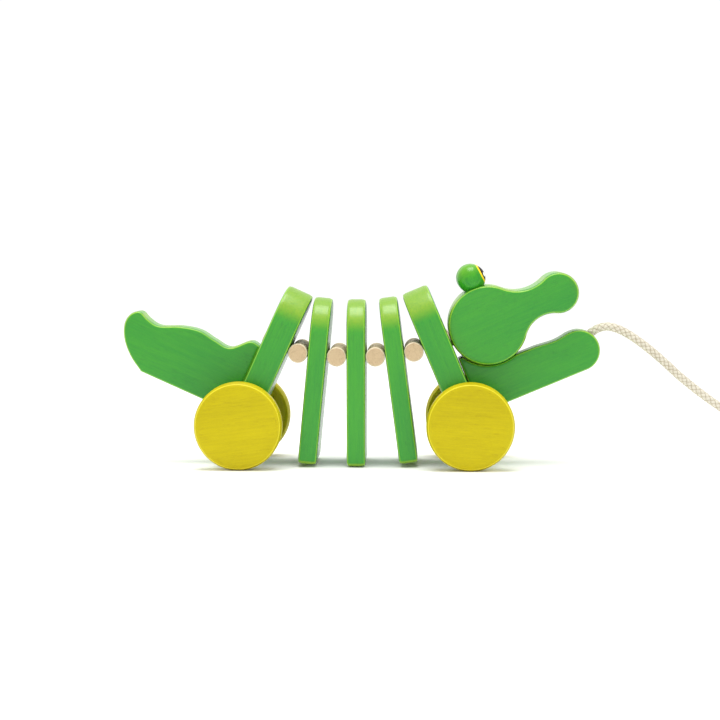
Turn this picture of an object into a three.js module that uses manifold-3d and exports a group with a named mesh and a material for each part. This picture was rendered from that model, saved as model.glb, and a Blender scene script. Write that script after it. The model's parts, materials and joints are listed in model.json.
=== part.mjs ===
// A wooden pull-along alligator.  Arched plates are strung on two cords with
// round dowels between them, so the body bends at each dowel as the toy rolls.
// Millimetres, +X forward (the head), +Y to the toy's left, +Z up, with the
// origin on the floor under the middle of the toy.
import * as THREE from 'three';
import { mergeVertices } from 'three/addons/utils/BufferGeometryUtils.js';
import Module from 'manifold-3d';

const wasm = await Module();
wasm.setup();

// ---------------------------------------------------------------- sizes

// Clearances
const GLUE_GAP = 0.3; // between faces that touch
const BORE_GAP = 0.35; // around a peg in its hole
const RUNNING_GAP = 0.5; // around an axle that turns in its plate

// Arched plates, measured from the line of the body cords
const PLATE_WIDTH = 52;
const PLATE_TOP = 38.6;
const PLATE_FOOT = 75.4;
const BODY_THICK = 13;
const END_THICK = 19;
const PLATE_CORNER = 3;
const EDGE_ROUND = 1.3;

// Dowels between the plates, and how far each gap is closed at the top
const DOWEL_R = 6.5;
const DOWEL_LENGTH = 48;
const DOWEL_ROUND = 0.8;
const GAP_TILTS = [18.8, 5.5, 7.4, 15.2]; // degrees, rear to front

// Body cords and the plugs that hold their ends
const CORD_Y = 14;
const BODY_CORD_R = 1.5;
const BODY_CORD_STEPS = 24;
const PLATE_HOLE_R = BODY_CORD_R + 0.6;
const DOWEL_HOLE_R = BODY_CORD_R + 1.4;
const PLUG_R = 3;
const PLUG_LENGTH = 6;

// Wheels, axles and washers
const WHEEL_R = 30;
const WHEEL_THICK = 15;
const WHEEL_ROUND = 2;
const WHEEL_SKIN = 5; // wood left outside the blind bore
const WHEEL_OFFSET = 4; // from the plate's edge to the wheel
const AXLE_R = 4;
const AXLE_HEIGHT = 14.8; // above the foot of the plate
const AXLE_DROP = PLATE_FOOT - AXLE_HEIGHT; // below the body cords
const WASHER_R = 8;
const WASHER_THICK = 3;

// Tail and lower jaw boards share the belly line
const BOARD_THICK = 20;
const BELLY_DROP = 58.3; // below the body cords
const ROOT_PEG_R = 3;
const ROOT_PEG_REACH = 12; // into each board
const TAIL_PEG_HEIGHTS = [14, 36]; // above the belly line
const JAW_PEG_HEIGHTS = [11, 25];

// Head
const HEAD_WIDTH = 40;
const HEAD_R = 27.3;
const HEAD_GAP = 0.6;
const HEAD_DROP = 3;
const SNOUT_R = 14;
const SNOUT_REACH = 52.9; // from the middle of the head's disc
const SNOUT_RISE = 2;
const SNOUT_FILLET_TOP = 26;
const SNOUT_FILLET_BOTTOM = 20;
const NECK_PEG_R = 5;
const NECK_PEG_REACH = 13;

// Eyes, glued into dimples on top of the head
const EYE_R = 9.9;
const EYE_Y = 10.2;
const EYE_SINK = 3.4;
const EYE_LEAN = 2.8; // degrees forward of the plate's own up
const EYE_PEG_R = 2.5;
const EYE_PEG_REACH = 7;

// Lower jaw
const JAW_HEIGHT = 28.7;
const JAW_LENGTH = 93.5; // root to tip
const JAW_ROOT_HEIGHT = 41.3;
const CRADLE_GAP = 0.7;
// The jaw's upper edge dips between its tip and the cradle: share of the way, depth.
const JAW_DIP = [
  [0.09, 0.1],
  [0.21, 1],
  [0.33, 1.3],
  [0.47, 0.8],
  [0.63, 0.1],
];
const JAW_CORD_ANGLE = 10; // degrees, above the jaw's own line
const JAW_CORD_PLACE = 32.4; // degrees, round the tip
const JAW_CORD_DEPTH = 22;

// Pull cord: a route laid by hand, in the toy's own frame
const CORD_R = 3;
const CORD_HOLE_GAP = 0.45;
const CORD_STEPS = 26;
const CORD_ROUTE = [
  [147.2, 0, 83.9],
  [153.1, 0, 87.6],
  [159, 0, 91.4],
  [161.5, 0, 93],
  [165.6, 0, 95.1],
  [171.4, 0, 95.9],
  [178.6, 0, 94],
  [185.6, 0, 90.4],
  [193.2, 0, 85.3],
  [200.1, 0, 80],
  [206.8, 0, 74.4],
  [213.6, 0, 68.3],
  [220.1, 0, 62.3],
  [227, 0, 56.6],
  [233.7, 0, 51.3],
  [240.5, 0, 46.2],
  [247.1, 0, 41.6],
  [254, 0, 36.9],
  [261, 0, 31.7],
  [268, 0, 26],
  [275, 0, 20],
  [282, 0, 13.9],
  [289, 0, 8.4],
  [295.5, 0, 4.9],
];

// The length that is put away lies in a flat coil on the floor, outermost turn
// first, and ends in a knot in the middle of the coil.
const FLOOR_GAP = 0.1;
const COIL_CENTRE = [318, 39.4];
const COIL_OUTER_R = 39.4;
const COIL_TURNS = 2.25;
const COIL_PITCH = 6.4;
const COIL_SLACK = 0.2;
const CORD_END_STEPS = 6;
const KNOT_R = 6.5;

// ------------------------------------------------------------ materials

function paint(colour, roughness) {
  return new THREE.MeshStandardMaterial({ color: colour, roughness, metalness: 0 });
}

const GREEN = paint(0x4fa94a, 0.5);
const YELLOW = paint(0xd9cc2e, 0.45);
const BARE_WOOD = paint(0xd8b48f, 0.65);
const COTTON = paint(0xebe1c8, 0.9);
const EYE_PAINT = paint(0x3f9a45, 0.35);

// --------------------------------------------------------- shape helpers

const rad = THREE.MathUtils.degToRad;

// Points on an arc, angles in degrees.
function arc(x, y, r, from, to, steps) {
  const points = [];
  for (let i = 0; i <= steps; i += 1) {
    const a = rad(from + ((to - from) * i) / steps);
    points.push(new THREE.Vector2(x + r * Math.cos(a), y + r * Math.sin(a)));
  }
  return points;
}

// A board of the given outline with rounded edges, thickness centred on zero.
function board(outline, thick, round = EDGE_ROUND) {
  const shape = new THREE.Shape(outline);
  const geometry = new THREE.ExtrudeGeometry(shape, {
    depth: thick - 2 * round,
    bevelThickness: round,
    bevelSize: round,
    bevelOffset: -round,
    bevelSegments: 1,
    steps: 1,
  });
  return geometry.translate(0, 0, round - thick / 2);
}

// Stands a board across the toy: outline in Y and Z, thickness along X.
function acrossToy(geometry) {
  const basis = new THREE.Matrix4().makeBasis(
    new THREE.Vector3(0, 1, 0),
    new THREE.Vector3(0, 0, 1),
    new THREE.Vector3(1, 0, 0),
  );
  return geometry.applyMatrix4(basis);
}

// Stands a board along the toy: outline in X and Z, thickness along Y.
function alongToy(geometry) {
  return geometry.rotateX(Math.PI / 2);
}

// A round bar between two points.
function bar(start, end, r, sides = 16) {
  const from = new THREE.Vector3(...start);
  const to = new THREE.Vector3(...end);
  const geometry = new THREE.CylinderGeometry(r, r, from.distanceTo(to), sides);
  const turn = new THREE.Quaternion().setFromUnitVectors(
    new THREE.Vector3(0, 1, 0),
    to.clone().sub(from).normalize(),
  );
  geometry.applyQuaternion(turn);
  const middle = from.add(to).multiplyScalar(0.5);
  return geometry.translate(middle.x, middle.y, middle.z);
}

// A tube along a list of points.
function tube(points, r, steps, sides = 8) {
  const path = new THREE.CatmullRomCurve3(points, false, 'centripetal');
  const section = new THREE.Shape(arc(0, 0, r, 0, 360 - 360 / sides, sides - 1));
  return new THREE.ExtrudeGeometry(section, { steps, extrudePath: path, bevelEnabled: false });
}

function solidOf(geometry) {
  const bare = geometry.clone();
  bare.deleteAttribute('normal');
  bare.deleteAttribute('uv');
  const merged = mergeVertices(bare, 1e-4);
  return new wasm.Manifold(new wasm.Mesh({
    numProp: 3,
    vertProperties: new Float32Array(merged.attributes.position.array),
    triVerts: new Uint32Array(merged.index.array),
  }));
}

// One shape less a list of others.
function cut(geometry, tools) {
  let solid = solidOf(geometry);
  for (const tool of tools) {
    solid = solid.subtract(solidOf(tool));
  }
  const mesh = solid.getMesh();
  const result = new THREE.BufferGeometry();
  result.setAttribute('position', new THREE.BufferAttribute(mesh.vertProperties, 3));
  result.setIndex(new THREE.BufferAttribute(mesh.triVerts, 1));
  result.computeVertexNormals();
  return result;
}

function piece(name, geometry, material, parent) {
  const mesh = new THREE.Mesh(geometry, material);
  mesh.name = name;
  parent.add(mesh);
  return mesh;
}

// ----------------------------------------------- where plates and dowels lie

// Each place is {x, z, tilt}: tilt in degrees, the top leaning forward when it is
// positive.  The middle body plate stands upright at the start, then the whole
// row is levelled so that both axles are at the same height.
const PLATE_THICKS = [END_THICK, BODY_THICK, BODY_THICK, BODY_THICK, END_THICK];
const MIDDLE = 2;

function along(place, distance, tilt = place.tilt) {
  const a = rad(place.tilt);
  return { x: place.x + distance * Math.cos(a), z: place.z - distance * Math.sin(a), tilt };
}

function below(place, distance) {
  const a = rad(place.tilt);
  return { x: place.x - distance * Math.sin(a), z: place.z - distance * Math.cos(a) };
}

const toDowel = PLATE_THICKS.map((thick) => thick / 2 + GLUE_GAP + DOWEL_R);
const plates = [];
const dowels = [];
plates[MIDDLE] = { x: 0, z: 0, tilt: 0 };
for (let i = MIDDLE; i < 4; i += 1) {
  const nextTilt = plates[i].tilt - GAP_TILTS[i];
  dowels[i] = along(plates[i], toDowel[i], nextTilt);
  plates[i + 1] = along(dowels[i], toDowel[i + 1]);
  dowels[i].tilt = (plates[i].tilt + nextTilt) / 2;
}
for (let i = MIDDLE; i > 0; i -= 1) {
  const nextTilt = plates[i].tilt + GAP_TILTS[i - 1];
  dowels[i - 1] = along(plates[i], -toDowel[i], nextTilt);
  plates[i - 1] = along(dowels[i - 1], -toDowel[i - 1]);
  dowels[i - 1].tilt = (plates[i].tilt + nextTilt) / 2;
}
const rearAxlePlace = below(plates[0], AXLE_DROP);
const frontAxlePlace = below(plates[4], AXLE_DROP);
const levelling = Math.atan2(frontAxlePlace.z - rearAxlePlace.z, frontAxlePlace.x - rearAxlePlace.x);

// A group whose own Z runs up a plate or dowel from the line of the cords.
function station(place, parent) {
  const group = new THREE.Group();
  group.position.set(place.x, 0, place.z);
  group.rotation.y = rad(place.tilt);
  parent.add(group);
  return group;
}

// ------------------------------------------------------------ plates

const HALF_WIDTH = PLATE_WIDTH / 2;
const AXLE_HOLE_R = AXLE_R + RUNNING_GAP;

function archOutline() {
  const side = HALF_WIDTH - PLATE_CORNER;
  const foot = PLATE_CORNER - PLATE_FOOT;
  return [
    ...arc(side, foot, PLATE_CORNER, -90, 0, 3),
    ...arc(0, PLATE_TOP - HALF_WIDTH, HALF_WIDTH, 0, 180, 20),
    ...arc(-side, foot, PLATE_CORNER, 180, 270, 3),
  ];
}

function cordHoles(thick, r) {
  return [-CORD_Y, CORD_Y].map((y) => bar([-thick, y, 0], [thick, y, 0], r, 12));
}

// Wider mouths for the plugs, on the face that looks away from the body.
function plugMouths(outward) {
  const face = (outward * END_THICK) / 2;
  const deep = face - outward * (PLUG_LENGTH + GLUE_GAP);
  return [-CORD_Y, CORD_Y].map((y) => (
    bar([deep, y, 0], [face + outward, y, 0], PLUG_R + BORE_GAP, 12)
  ));
}

function axleHole() {
  return bar([0, -PLATE_WIDTH, -AXLE_DROP], [0, PLATE_WIDTH, -AXLE_DROP], AXLE_HOLE_R, 20);
}

function pegHole(outward, z, r, reach) {
  const face = (outward * END_THICK) / 2;
  const deep = face - outward * (reach + GLUE_GAP);
  return bar([deep, 0, z], [face + outward, 0, z], r + BORE_GAP);
}

const tailPegs = TAIL_PEG_HEIGHTS.map((height) => height - BELLY_DROP);
const jawPegs = JAW_PEG_HEIGHTS.map((height) => height - BELLY_DROP);

function bodyPlate() {
  return cut(acrossToy(board(archOutline(), BODY_THICK)), cordHoles(BODY_THICK, PLATE_HOLE_R));
}

function endPlate(outward, pegHoles) {
  return cut(acrossToy(board(archOutline(), END_THICK)), [
    ...cordHoles(END_THICK, PLATE_HOLE_R),
    ...plugMouths(outward),
    axleHole(),
    ...pegHoles,
  ]);
}

function rearPlate() {
  return endPlate(-1, tailPegs.map((z) => pegHole(-1, z, ROOT_PEG_R, ROOT_PEG_REACH)));
}

function frontPlate() {
  return endPlate(1, [
    ...jawPegs.map((z) => pegHole(1, z, ROOT_PEG_R, ROOT_PEG_REACH)),
    pegHole(1, -HEAD_DROP, NECK_PEG_R, NECK_PEG_REACH),
  ]);
}

// ------------------------------------------------------------ dowels

function dowel() {
  const half = DOWEL_LENGTH / 2;
  const neck = DOWEL_R - DOWEL_ROUND;
  const profile = [
    new THREE.Vector2(0, -half),
    new THREE.Vector2(neck, -half),
    new THREE.Vector2(DOWEL_R, DOWEL_ROUND - half),
    new THREE.Vector2(DOWEL_R, half - DOWEL_ROUND),
    new THREE.Vector2(neck, half),
    new THREE.Vector2(0, half),
  ];
  return cut(new THREE.LatheGeometry(profile, 24), cordHoles(DOWEL_R, DOWEL_HOLE_R));
}

// ------------------------------------------------------------ wheels

const WHEEL_INNER = HALF_WIDTH + WHEEL_OFFSET;
const WHEEL_OUTER = WHEEL_INNER + WHEEL_THICK;

// A wheel on the +Y side, turned about the axle line, with a blind bore inside.
function wheel() {
  const rim = WHEEL_R - WHEEL_ROUND;
  const profile = [
    new THREE.Vector2(0, WHEEL_OUTER - WHEEL_SKIN),
    new THREE.Vector2(AXLE_R + BORE_GAP, WHEEL_OUTER - WHEEL_SKIN),
    new THREE.Vector2(AXLE_R + BORE_GAP, WHEEL_INNER),
    ...arc(rim, WHEEL_INNER + WHEEL_ROUND, WHEEL_ROUND, -90, 0, 2),
    ...arc(rim, WHEEL_OUTER - WHEEL_ROUND, WHEEL_ROUND, 0, 90, 2),
    new THREE.Vector2(0, WHEEL_OUTER),
  ];
  return new THREE.LatheGeometry(profile, 36);
}

function washer() {
  const low = HALF_WIDTH + (WHEEL_OFFSET - WASHER_THICK) / 2;
  const high = low + WASHER_THICK;
  const bore = AXLE_R + BORE_GAP;
  const profile = [
    new THREE.Vector2(bore, low),
    new THREE.Vector2(WASHER_R, low),
    new THREE.Vector2(WASHER_R, high),
    new THREE.Vector2(bore, high),
    new THREE.Vector2(bore, low),
  ];
  return new THREE.LatheGeometry(profile, 24);
}

function wheelSet(end, parent) {
  const group = new THREE.Group();
  group.position.z = -AXLE_DROP;
  parent.add(group);
  const reach = WHEEL_OUTER - WHEEL_SKIN - GLUE_GAP;
  piece(`${end}_axle`, bar([0, -reach, 0], [0, reach, 0], AXLE_R), BARE_WOOD, group);
  for (const side of ['left', 'right']) {
    const turn = side === 'left' ? 0 : Math.PI;
    piece(`${end}_wheel_${side}`, wheel(), YELLOW, group).rotation.x = turn;
    piece(`${end}_washer_${side}`, washer(), BARE_WOOD, group).rotation.x = turn;
  }
}

// --------------------------------------------------- tail, in the rear plate's frame

// The tail's outline, as distance behind the plate and height above the belly line.
const TAIL_TOP = [
  [0, 50.6],
  [8, 50.8],
  [19, 41],
  [31, 41.6],
  [43, 43.2],
  [56, 40.4],
  [70, 34.6],
  [79, 35.6],
  [86, 38.2],
  [91.5, 34],
  [92.8, 26],
  [88.5, 16],
  [80, 7],
  [69, 0],
];

function tail() {
  const root = -END_THICK / 2 - GLUE_GAP;
  const places = TAIL_TOP.map(([back, up]) => new THREE.Vector2(root - back, up - BELLY_DROP));
  const outline = new THREE.SplineCurve(places).getPoints(42);
  outline.push(new THREE.Vector2(root, -BELLY_DROP));
  const holes = tailPegs.map((z) => (
    bar([root + 1, 0, z], [root - ROOT_PEG_REACH - GLUE_GAP, 0, z], ROOT_PEG_R + BORE_GAP)
  ));
  return cut(alongToy(board(outline.reverse(), BOARD_THICK)), holes);
}

function rootPeg(outward, z) {
  const middle = outward * (END_THICK / 2 + GLUE_GAP / 2);
  return bar([middle - ROOT_PEG_REACH, 0, z], [middle + ROOT_PEG_REACH, 0, z], ROOT_PEG_R);
}

// ------------------------------------------- head and jaw, in the front plate's frame

const HEAD_X = END_THICK / 2 + HEAD_GAP + HEAD_R;
const HEAD_Z = -HEAD_DROP;
const SNOUT_X = HEAD_X + SNOUT_REACH;
const SNOUT_Z = HEAD_Z + SNOUT_RISE;

// The hollow between the head's disc and the snout is an arc that touches both.
function hollow(side, r) {
  const span = Math.hypot(SNOUT_REACH, SNOUT_RISE);
  const toHead = HEAD_R + r;
  const toSnout = SNOUT_R + r;
  const reach = (toHead ** 2 - toSnout ** 2 + span ** 2) / (2 * span);
  const rise = side * Math.sqrt(toHead ** 2 - reach ** 2);
  const lean = Math.atan2(SNOUT_RISE, SNOUT_REACH);
  const x = HEAD_X + reach * Math.cos(lean) - rise * Math.sin(lean);
  const z = HEAD_Z + reach * Math.sin(lean) + rise * Math.cos(lean);
  return { x, z, r, head: angleTo(x, z, HEAD_X, HEAD_Z), snout: angleTo(x, z, SNOUT_X, SNOUT_Z) };
}

function angleTo(x, z, toX, toZ) {
  return THREE.MathUtils.radToDeg(Math.atan2(toZ - z, toX - x));
}

function headOutline() {
  const over = hollow(1, SNOUT_FILLET_TOP);
  const under = hollow(-1, SNOUT_FILLET_BOTTOM);
  return [
    ...arc(SNOUT_X, SNOUT_Z, SNOUT_R, under.snout - 180, over.snout + 180, 14),
    ...arc(over.x, over.z, over.r, over.snout, over.head, 8).slice(1),
    ...arc(HEAD_X, HEAD_Z, HEAD_R, over.head + 180, under.head + 180, 24).slice(1),
    ...arc(under.x, under.z, under.r, under.head, under.snout, 8).slice(1, -1),
  ];
}

const EYE_REACH = HEAD_R + EYE_R - EYE_SINK;
const eyeUp = { x: Math.sin(rad(EYE_LEAN)), z: Math.cos(rad(EYE_LEAN)) };

// A point on the line from the head's middle through an eye.
function eyeLine(y, distance) {
  return [HEAD_X + distance * eyeUp.x, y, HEAD_Z + distance * eyeUp.z];
}

function ball(y, r) {
  return new THREE.SphereGeometry(r, 20, 12).translate(...eyeLine(y, EYE_REACH));
}

function eyePegHole(y) {
  const reach = EYE_PEG_REACH + GLUE_GAP;
  return bar(eyeLine(y, HEAD_R - reach), eyeLine(y, EYE_REACH - EYE_R + reach), EYE_PEG_R + BORE_GAP, 12);
}

function head() {
  const shape = alongToy(board(headOutline(), HEAD_WIDTH));
  const neck = bar(
    [HEAD_X - HEAD_R - 1, 0, HEAD_Z],
    [HEAD_X - HEAD_R + NECK_PEG_REACH + GLUE_GAP, 0, HEAD_Z],
    NECK_PEG_R + BORE_GAP,
  );
  const eyes = [-EYE_Y, EYE_Y];
  return cut(shape, [
    neck,
    ...eyes.map((y) => ball(y, EYE_R + GLUE_GAP)),
    ...eyes.map(eyePegHole),
  ]);
}

function eye(y) {
  return cut(ball(y, EYE_R), [eyePegHole(y)]);
}

function eyePeg(y) {
  const low = HEAD_R - EYE_PEG_REACH;
  const high = EYE_REACH - EYE_R + EYE_PEG_REACH;
  return bar(eyeLine(y, low), eyeLine(y, high), EYE_PEG_R, 12);
}

function neckPeg() {
  const deep = END_THICK / 2 - NECK_PEG_REACH;
  return bar([deep, 0, HEAD_Z], [HEAD_X - HEAD_R + NECK_PEG_REACH, 0, HEAD_Z], NECK_PEG_R);
}

const JAW_ROOT = END_THICK / 2 + GLUE_GAP;
const JAW_TIP_R = JAW_HEIGHT / 2;
const JAW_TIP_X = JAW_ROOT + JAW_LENGTH - JAW_TIP_R;
const JAW_TIP_Z = JAW_TIP_R - BELLY_DROP;

function jawOutline() {
  const cradle = HEAD_R + CRADLE_GAP;
  const lip = JAW_HEIGHT - BELLY_DROP;
  const shoulder = JAW_ROOT_HEIGHT - BELLY_DROP;
  const lipAngle = THREE.MathUtils.radToDeg(Math.asin((lip - HEAD_Z) / cradle));
  const shoulderAngle = -180 - THREE.MathUtils.radToDeg(Math.asin((shoulder - HEAD_Z) / cradle));
  const back = JAW_TIP_X - HEAD_X - cradle * Math.cos(rad(lipAngle));
  return [
    new THREE.Vector2(JAW_ROOT, -BELLY_DROP),
    ...arc(JAW_TIP_X, JAW_TIP_Z, JAW_TIP_R, -90, 90, 14),
    ...JAW_DIP.map(([share, depth]) => new THREE.Vector2(JAW_TIP_X - share * back, lip - depth)),
    ...arc(HEAD_X, HEAD_Z, cradle, lipAngle, shoulderAngle, 10),
    new THREE.Vector2(JAW_ROOT, shoulder),
  ];
}

// Where the pull cord leaves the jaw, and the line of its hole.
const cordPlace = rad(JAW_CORD_PLACE);
const cordAngle = rad(JAW_CORD_ANGLE);

function cordHolePoint(distance) {
  return [
    JAW_TIP_X + JAW_TIP_R * Math.cos(cordPlace) + distance * Math.cos(cordAngle),
    0,
    JAW_TIP_Z + JAW_TIP_R * Math.sin(cordPlace) + distance * Math.sin(cordAngle),
  ];
}

function lowerJaw() {
  const pegHoles = jawPegs.map((z) => (
    bar([JAW_ROOT - 1, 0, z], [JAW_ROOT + ROOT_PEG_REACH + GLUE_GAP, 0, z], ROOT_PEG_R + BORE_GAP)
  ));
  const cordHole = bar(
    cordHolePoint(-JAW_CORD_DEPTH),
    cordHolePoint(2 * CORD_R),
    CORD_R + CORD_HOLE_GAP,
  );
  return cut(alongToy(board(jawOutline(), BOARD_THICK)), [...pegHoles, cordHole]);
}

// -------------------------------------------------------- body cords

// One cord runs straight through each plate and bends inside each dowel.
function bodyCord(y) {
  const ends = END_THICK / 2 - PLUG_LENGTH - 2 * GLUE_GAP;
  const places = [along(plates[0], -ends)];
  for (let i = 0; i < 4; i += 1) {
    places.push(along(plates[i], PLATE_THICKS[i] / 2));
    places.push(dowels[i]);
    places.push(along(plates[i + 1], -PLATE_THICKS[i + 1] / 2));
  }
  places.push(along(plates[4], ends));
  const points = places.map((place) => new THREE.Vector3(place.x, y, place.z));
  return tube(points, BODY_CORD_R, BODY_CORD_STEPS);
}

function plug(outward, y) {
  const face = (outward * END_THICK) / 2;
  return bar([face - outward * PLUG_LENGTH, y, 0], [face, y, 0], PLUG_R, 12);
}

// --------------------------------------------------------- pull cord

function pullCord() {
  return tube(CORD_ROUTE.map((place) => new THREE.Vector3(...place)), CORD_R, CORD_STEPS);
}

const COIL_INNER_R = COIL_OUTER_R - COIL_TURNS * COIL_PITCH;
const COIL_HOLE_R = COIL_INNER_R - CORD_R - COIL_SLACK;

// The outer shape of the coil: a flat ring one cord high.
function coil() {
  const outer = COIL_OUTER_R + CORD_R + COIL_SLACK;
  const top = FLOOR_GAP + 2 * CORD_R;
  const profile = [
    new THREE.Vector2(COIL_HOLE_R, FLOOR_GAP),
    new THREE.Vector2(outer, FLOOR_GAP),
    new THREE.Vector2(outer, top),
    new THREE.Vector2(COIL_HOLE_R, top),
    new THREE.Vector2(COIL_HOLE_R, FLOOR_GAP),
  ];
  return new THREE.LatheGeometry(profile, 32).rotateX(Math.PI / 2);
}

// From the innermost turn the cord swings in a half circle to the middle.
function cordEnd() {
  const r = COIL_INNER_R / 2;
  const clear = COIL_HOLE_R - GLUE_GAP - CORD_R;
  const start = 2 * THREE.MathUtils.radToDeg(Math.acos(clear / COIL_INNER_R)) + 2;
  const points = arc(r, 0, r, start, 174, CORD_END_STEPS);
  const height = FLOOR_GAP + CORD_R;
  const places = points.map((point) => new THREE.Vector3(point.x, point.y, height));
  return tube(places, CORD_R, CORD_END_STEPS);
}

function knot() {
  return new THREE.SphereGeometry(KNOT_R, 16, 10).translate(0, -KNOT_R, KNOT_R + FLOOR_GAP);
}

// ------------------------------------------------------------ assembly

const toy = new THREE.Group();
const row = new THREE.Group();
row.rotation.y = levelling;
toy.add(row);

const rearEnd = station(plates[0], row);
piece('rear_plate', rearPlate(), GREEN, rearEnd);
piece('tail', tail(), GREEN, rearEnd);
tailPegs.forEach((z, i) => piece(`tail_peg_${i + 1}`, rootPeg(-1, z), BARE_WOOD, rearEnd));
wheelSet('rear', rearEnd);

for (let i = 1; i < 4; i += 1) {
  piece(`body_plate_${i}`, bodyPlate(), GREEN, station(plates[i], row));
}
dowels.forEach((place, i) => piece(`dowel_${i + 1}`, dowel(), BARE_WOOD, station(place, row)));

const frontEnd = station(plates[4], row);
piece('front_plate', frontPlate(), GREEN, frontEnd);
piece('head', head(), GREEN, frontEnd);
piece('neck_peg', neckPeg(), BARE_WOOD, frontEnd);
piece('lower_jaw', lowerJaw(), GREEN, frontEnd);
jawPegs.forEach((z, i) => piece(`jaw_peg_${i + 1}`, rootPeg(1, z), BARE_WOOD, frontEnd));
wheelSet('front', frontEnd);

for (const [side, sign] of [['left', 1], ['right', -1]]) {
  piece(`eye_${side}`, eye(sign * EYE_Y), EYE_PAINT, frontEnd);
  piece(`eye_peg_${side}`, eyePeg(sign * EYE_Y), BARE_WOOD, frontEnd);
  piece(`body_cord_${side}`, bodyCord(sign * CORD_Y), COTTON, row);
  piece(`rear_plug_${side}`, plug(-1, sign * CORD_Y), BARE_WOOD, rearEnd);
  piece(`front_plug_${side}`, plug(1, sign * CORD_Y), BARE_WOOD, frontEnd);
}

piece('pull_cord', pullCord(), COTTON, toy);
const storedCord = new THREE.Group();
storedCord.position.set(...COIL_CENTRE, 0);
toy.add(storedCord);
piece('pull_cord_coil', coil(), COTTON, storedCord);
piece('pull_cord_end', cordEnd(), COTTON, storedCord);
piece('pull_cord_knot', knot(), COTTON, storedCord);

// Stand the toy on its wheels, with the origin under the middle of its box.
toy.updateMatrixWorld(true);
const box = new THREE.Box3().setFromObject(row, true);
const middle = box.getCenter(new THREE.Vector3());
row.position.set(-middle.x, -middle.y, -box.min.z);

export default toy;
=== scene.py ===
# %% [markdown]
# # A wooden pull-along alligator
#
# The toy is a row of arched plates strung on two cords, with a round dowel between
# each pair, so that the body wriggles as it rolls.  A thick plate at each end carries
# the wheels.  The head and the lower jaw stand on the front one, the tail on the rear
# one, and a braided cotton cord comes out of the jaw's tip.
#
# The model that fixes every size and every joint is loaded first and never changed.
# Each step below makes one kind of piece as a finer mesh in exactly the same place,
# hides the plain solid that it stands for, and says which body it moves with.

import json
import math

import bmesh
import bpy
import numpy as np
from mathutils import Matrix, Vector


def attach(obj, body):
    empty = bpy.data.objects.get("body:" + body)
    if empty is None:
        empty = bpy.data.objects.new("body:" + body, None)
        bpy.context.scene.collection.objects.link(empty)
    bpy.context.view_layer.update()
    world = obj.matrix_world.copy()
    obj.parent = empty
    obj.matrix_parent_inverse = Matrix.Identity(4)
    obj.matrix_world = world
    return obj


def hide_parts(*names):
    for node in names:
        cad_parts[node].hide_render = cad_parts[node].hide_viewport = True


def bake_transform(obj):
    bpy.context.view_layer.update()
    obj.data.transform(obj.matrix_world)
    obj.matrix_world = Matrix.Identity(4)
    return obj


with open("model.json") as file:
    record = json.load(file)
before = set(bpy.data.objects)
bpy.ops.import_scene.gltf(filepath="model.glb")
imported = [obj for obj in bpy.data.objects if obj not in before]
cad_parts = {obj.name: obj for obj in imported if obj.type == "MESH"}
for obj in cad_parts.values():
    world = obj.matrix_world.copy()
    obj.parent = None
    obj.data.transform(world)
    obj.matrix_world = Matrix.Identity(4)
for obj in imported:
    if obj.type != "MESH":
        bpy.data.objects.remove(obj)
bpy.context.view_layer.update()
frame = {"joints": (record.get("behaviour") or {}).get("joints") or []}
scene = bpy.context.scene

# %% [markdown]
# Sizes are written in millimetres, as on a maker's drawing, and turned into metres at
# the moment a mesh or a place is made.  Only the camera, the lamps and the floor are
# given in metres.  A line through a few points is drawn as a Catmull-Rom curve, which
# passes through every point, and is then cut into even steps, so that whatever follows
# it is stretched nowhere.

# %% Millimetres, and smooth lines
MM = 0.001


def smooth(points, per_span=16):
    """A dense line that passes through all the points."""
    p = np.array(points, float)
    p = np.vstack([2 * p[0] - p[1], p, 2 * p[-1] - p[-2]])
    t = np.linspace(0, 1, per_span, endpoint=False)[:, None]
    spans = []
    for a, b, c, d in zip(p, p[1:], p[2:], p[3:]):
        rise = (c - a) / 2
        fall = (d - b) / 2
        spans.append(b + t * rise + t**2 * (3 * (c - b) - 2 * rise - fall)
                     + t**3 * (2 * (b - c) + rise + fall))
    return np.vstack([*spans, p[-2:-1]])


def run_of(line):
    """How far along a line each of its points is."""
    return np.concatenate([[0], np.cumsum(np.linalg.norm(np.diff(line, axis=0), axis=1))])


def even(line, step):
    """The same line in steps of one length."""
    so_far = run_of(line)
    places = np.linspace(0, so_far[-1], max(2, round(so_far[-1] / step) + 1))
    return np.column_stack([np.interp(places, so_far, line[:, k]) for k in range(line.shape[1])])


print("helpers ready; one millimetre is", MM, "m")

# %% [markdown]
# ## The camera
#
# The toy is seen square on from its right side by a long lens held a little above the
# middle of the body, so both near wheels look round and the far ones peep out inside.
# A long lens far away is chosen instead of a short one close by, because it keeps the
# plates, which all face different ways, in proportion.

# %% Camera
CAMERA_PLACE = Vector((0.038, -1.185, 0.1627))
CAMERA_AIM = Vector((-0.0009, 0.0, 0.0722))
LENS = 85.2

camera_data = bpy.data.cameras.new("camera")
camera_data.lens = LENS
camera_data.sensor_width = 36.0
camera = bpy.data.objects.new("camera", camera_data)
camera.location = CAMERA_PLACE
camera.rotation_euler = (CAMERA_AIM - CAMERA_PLACE).to_track_quat("-Z", "Y").to_euler()
scene.collection.objects.link(camera)
scene.camera = camera
print("camera", round((CAMERA_AIM - CAMERA_PLACE).length, 3), "m away with a lens of", LENS, "mm")
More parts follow.
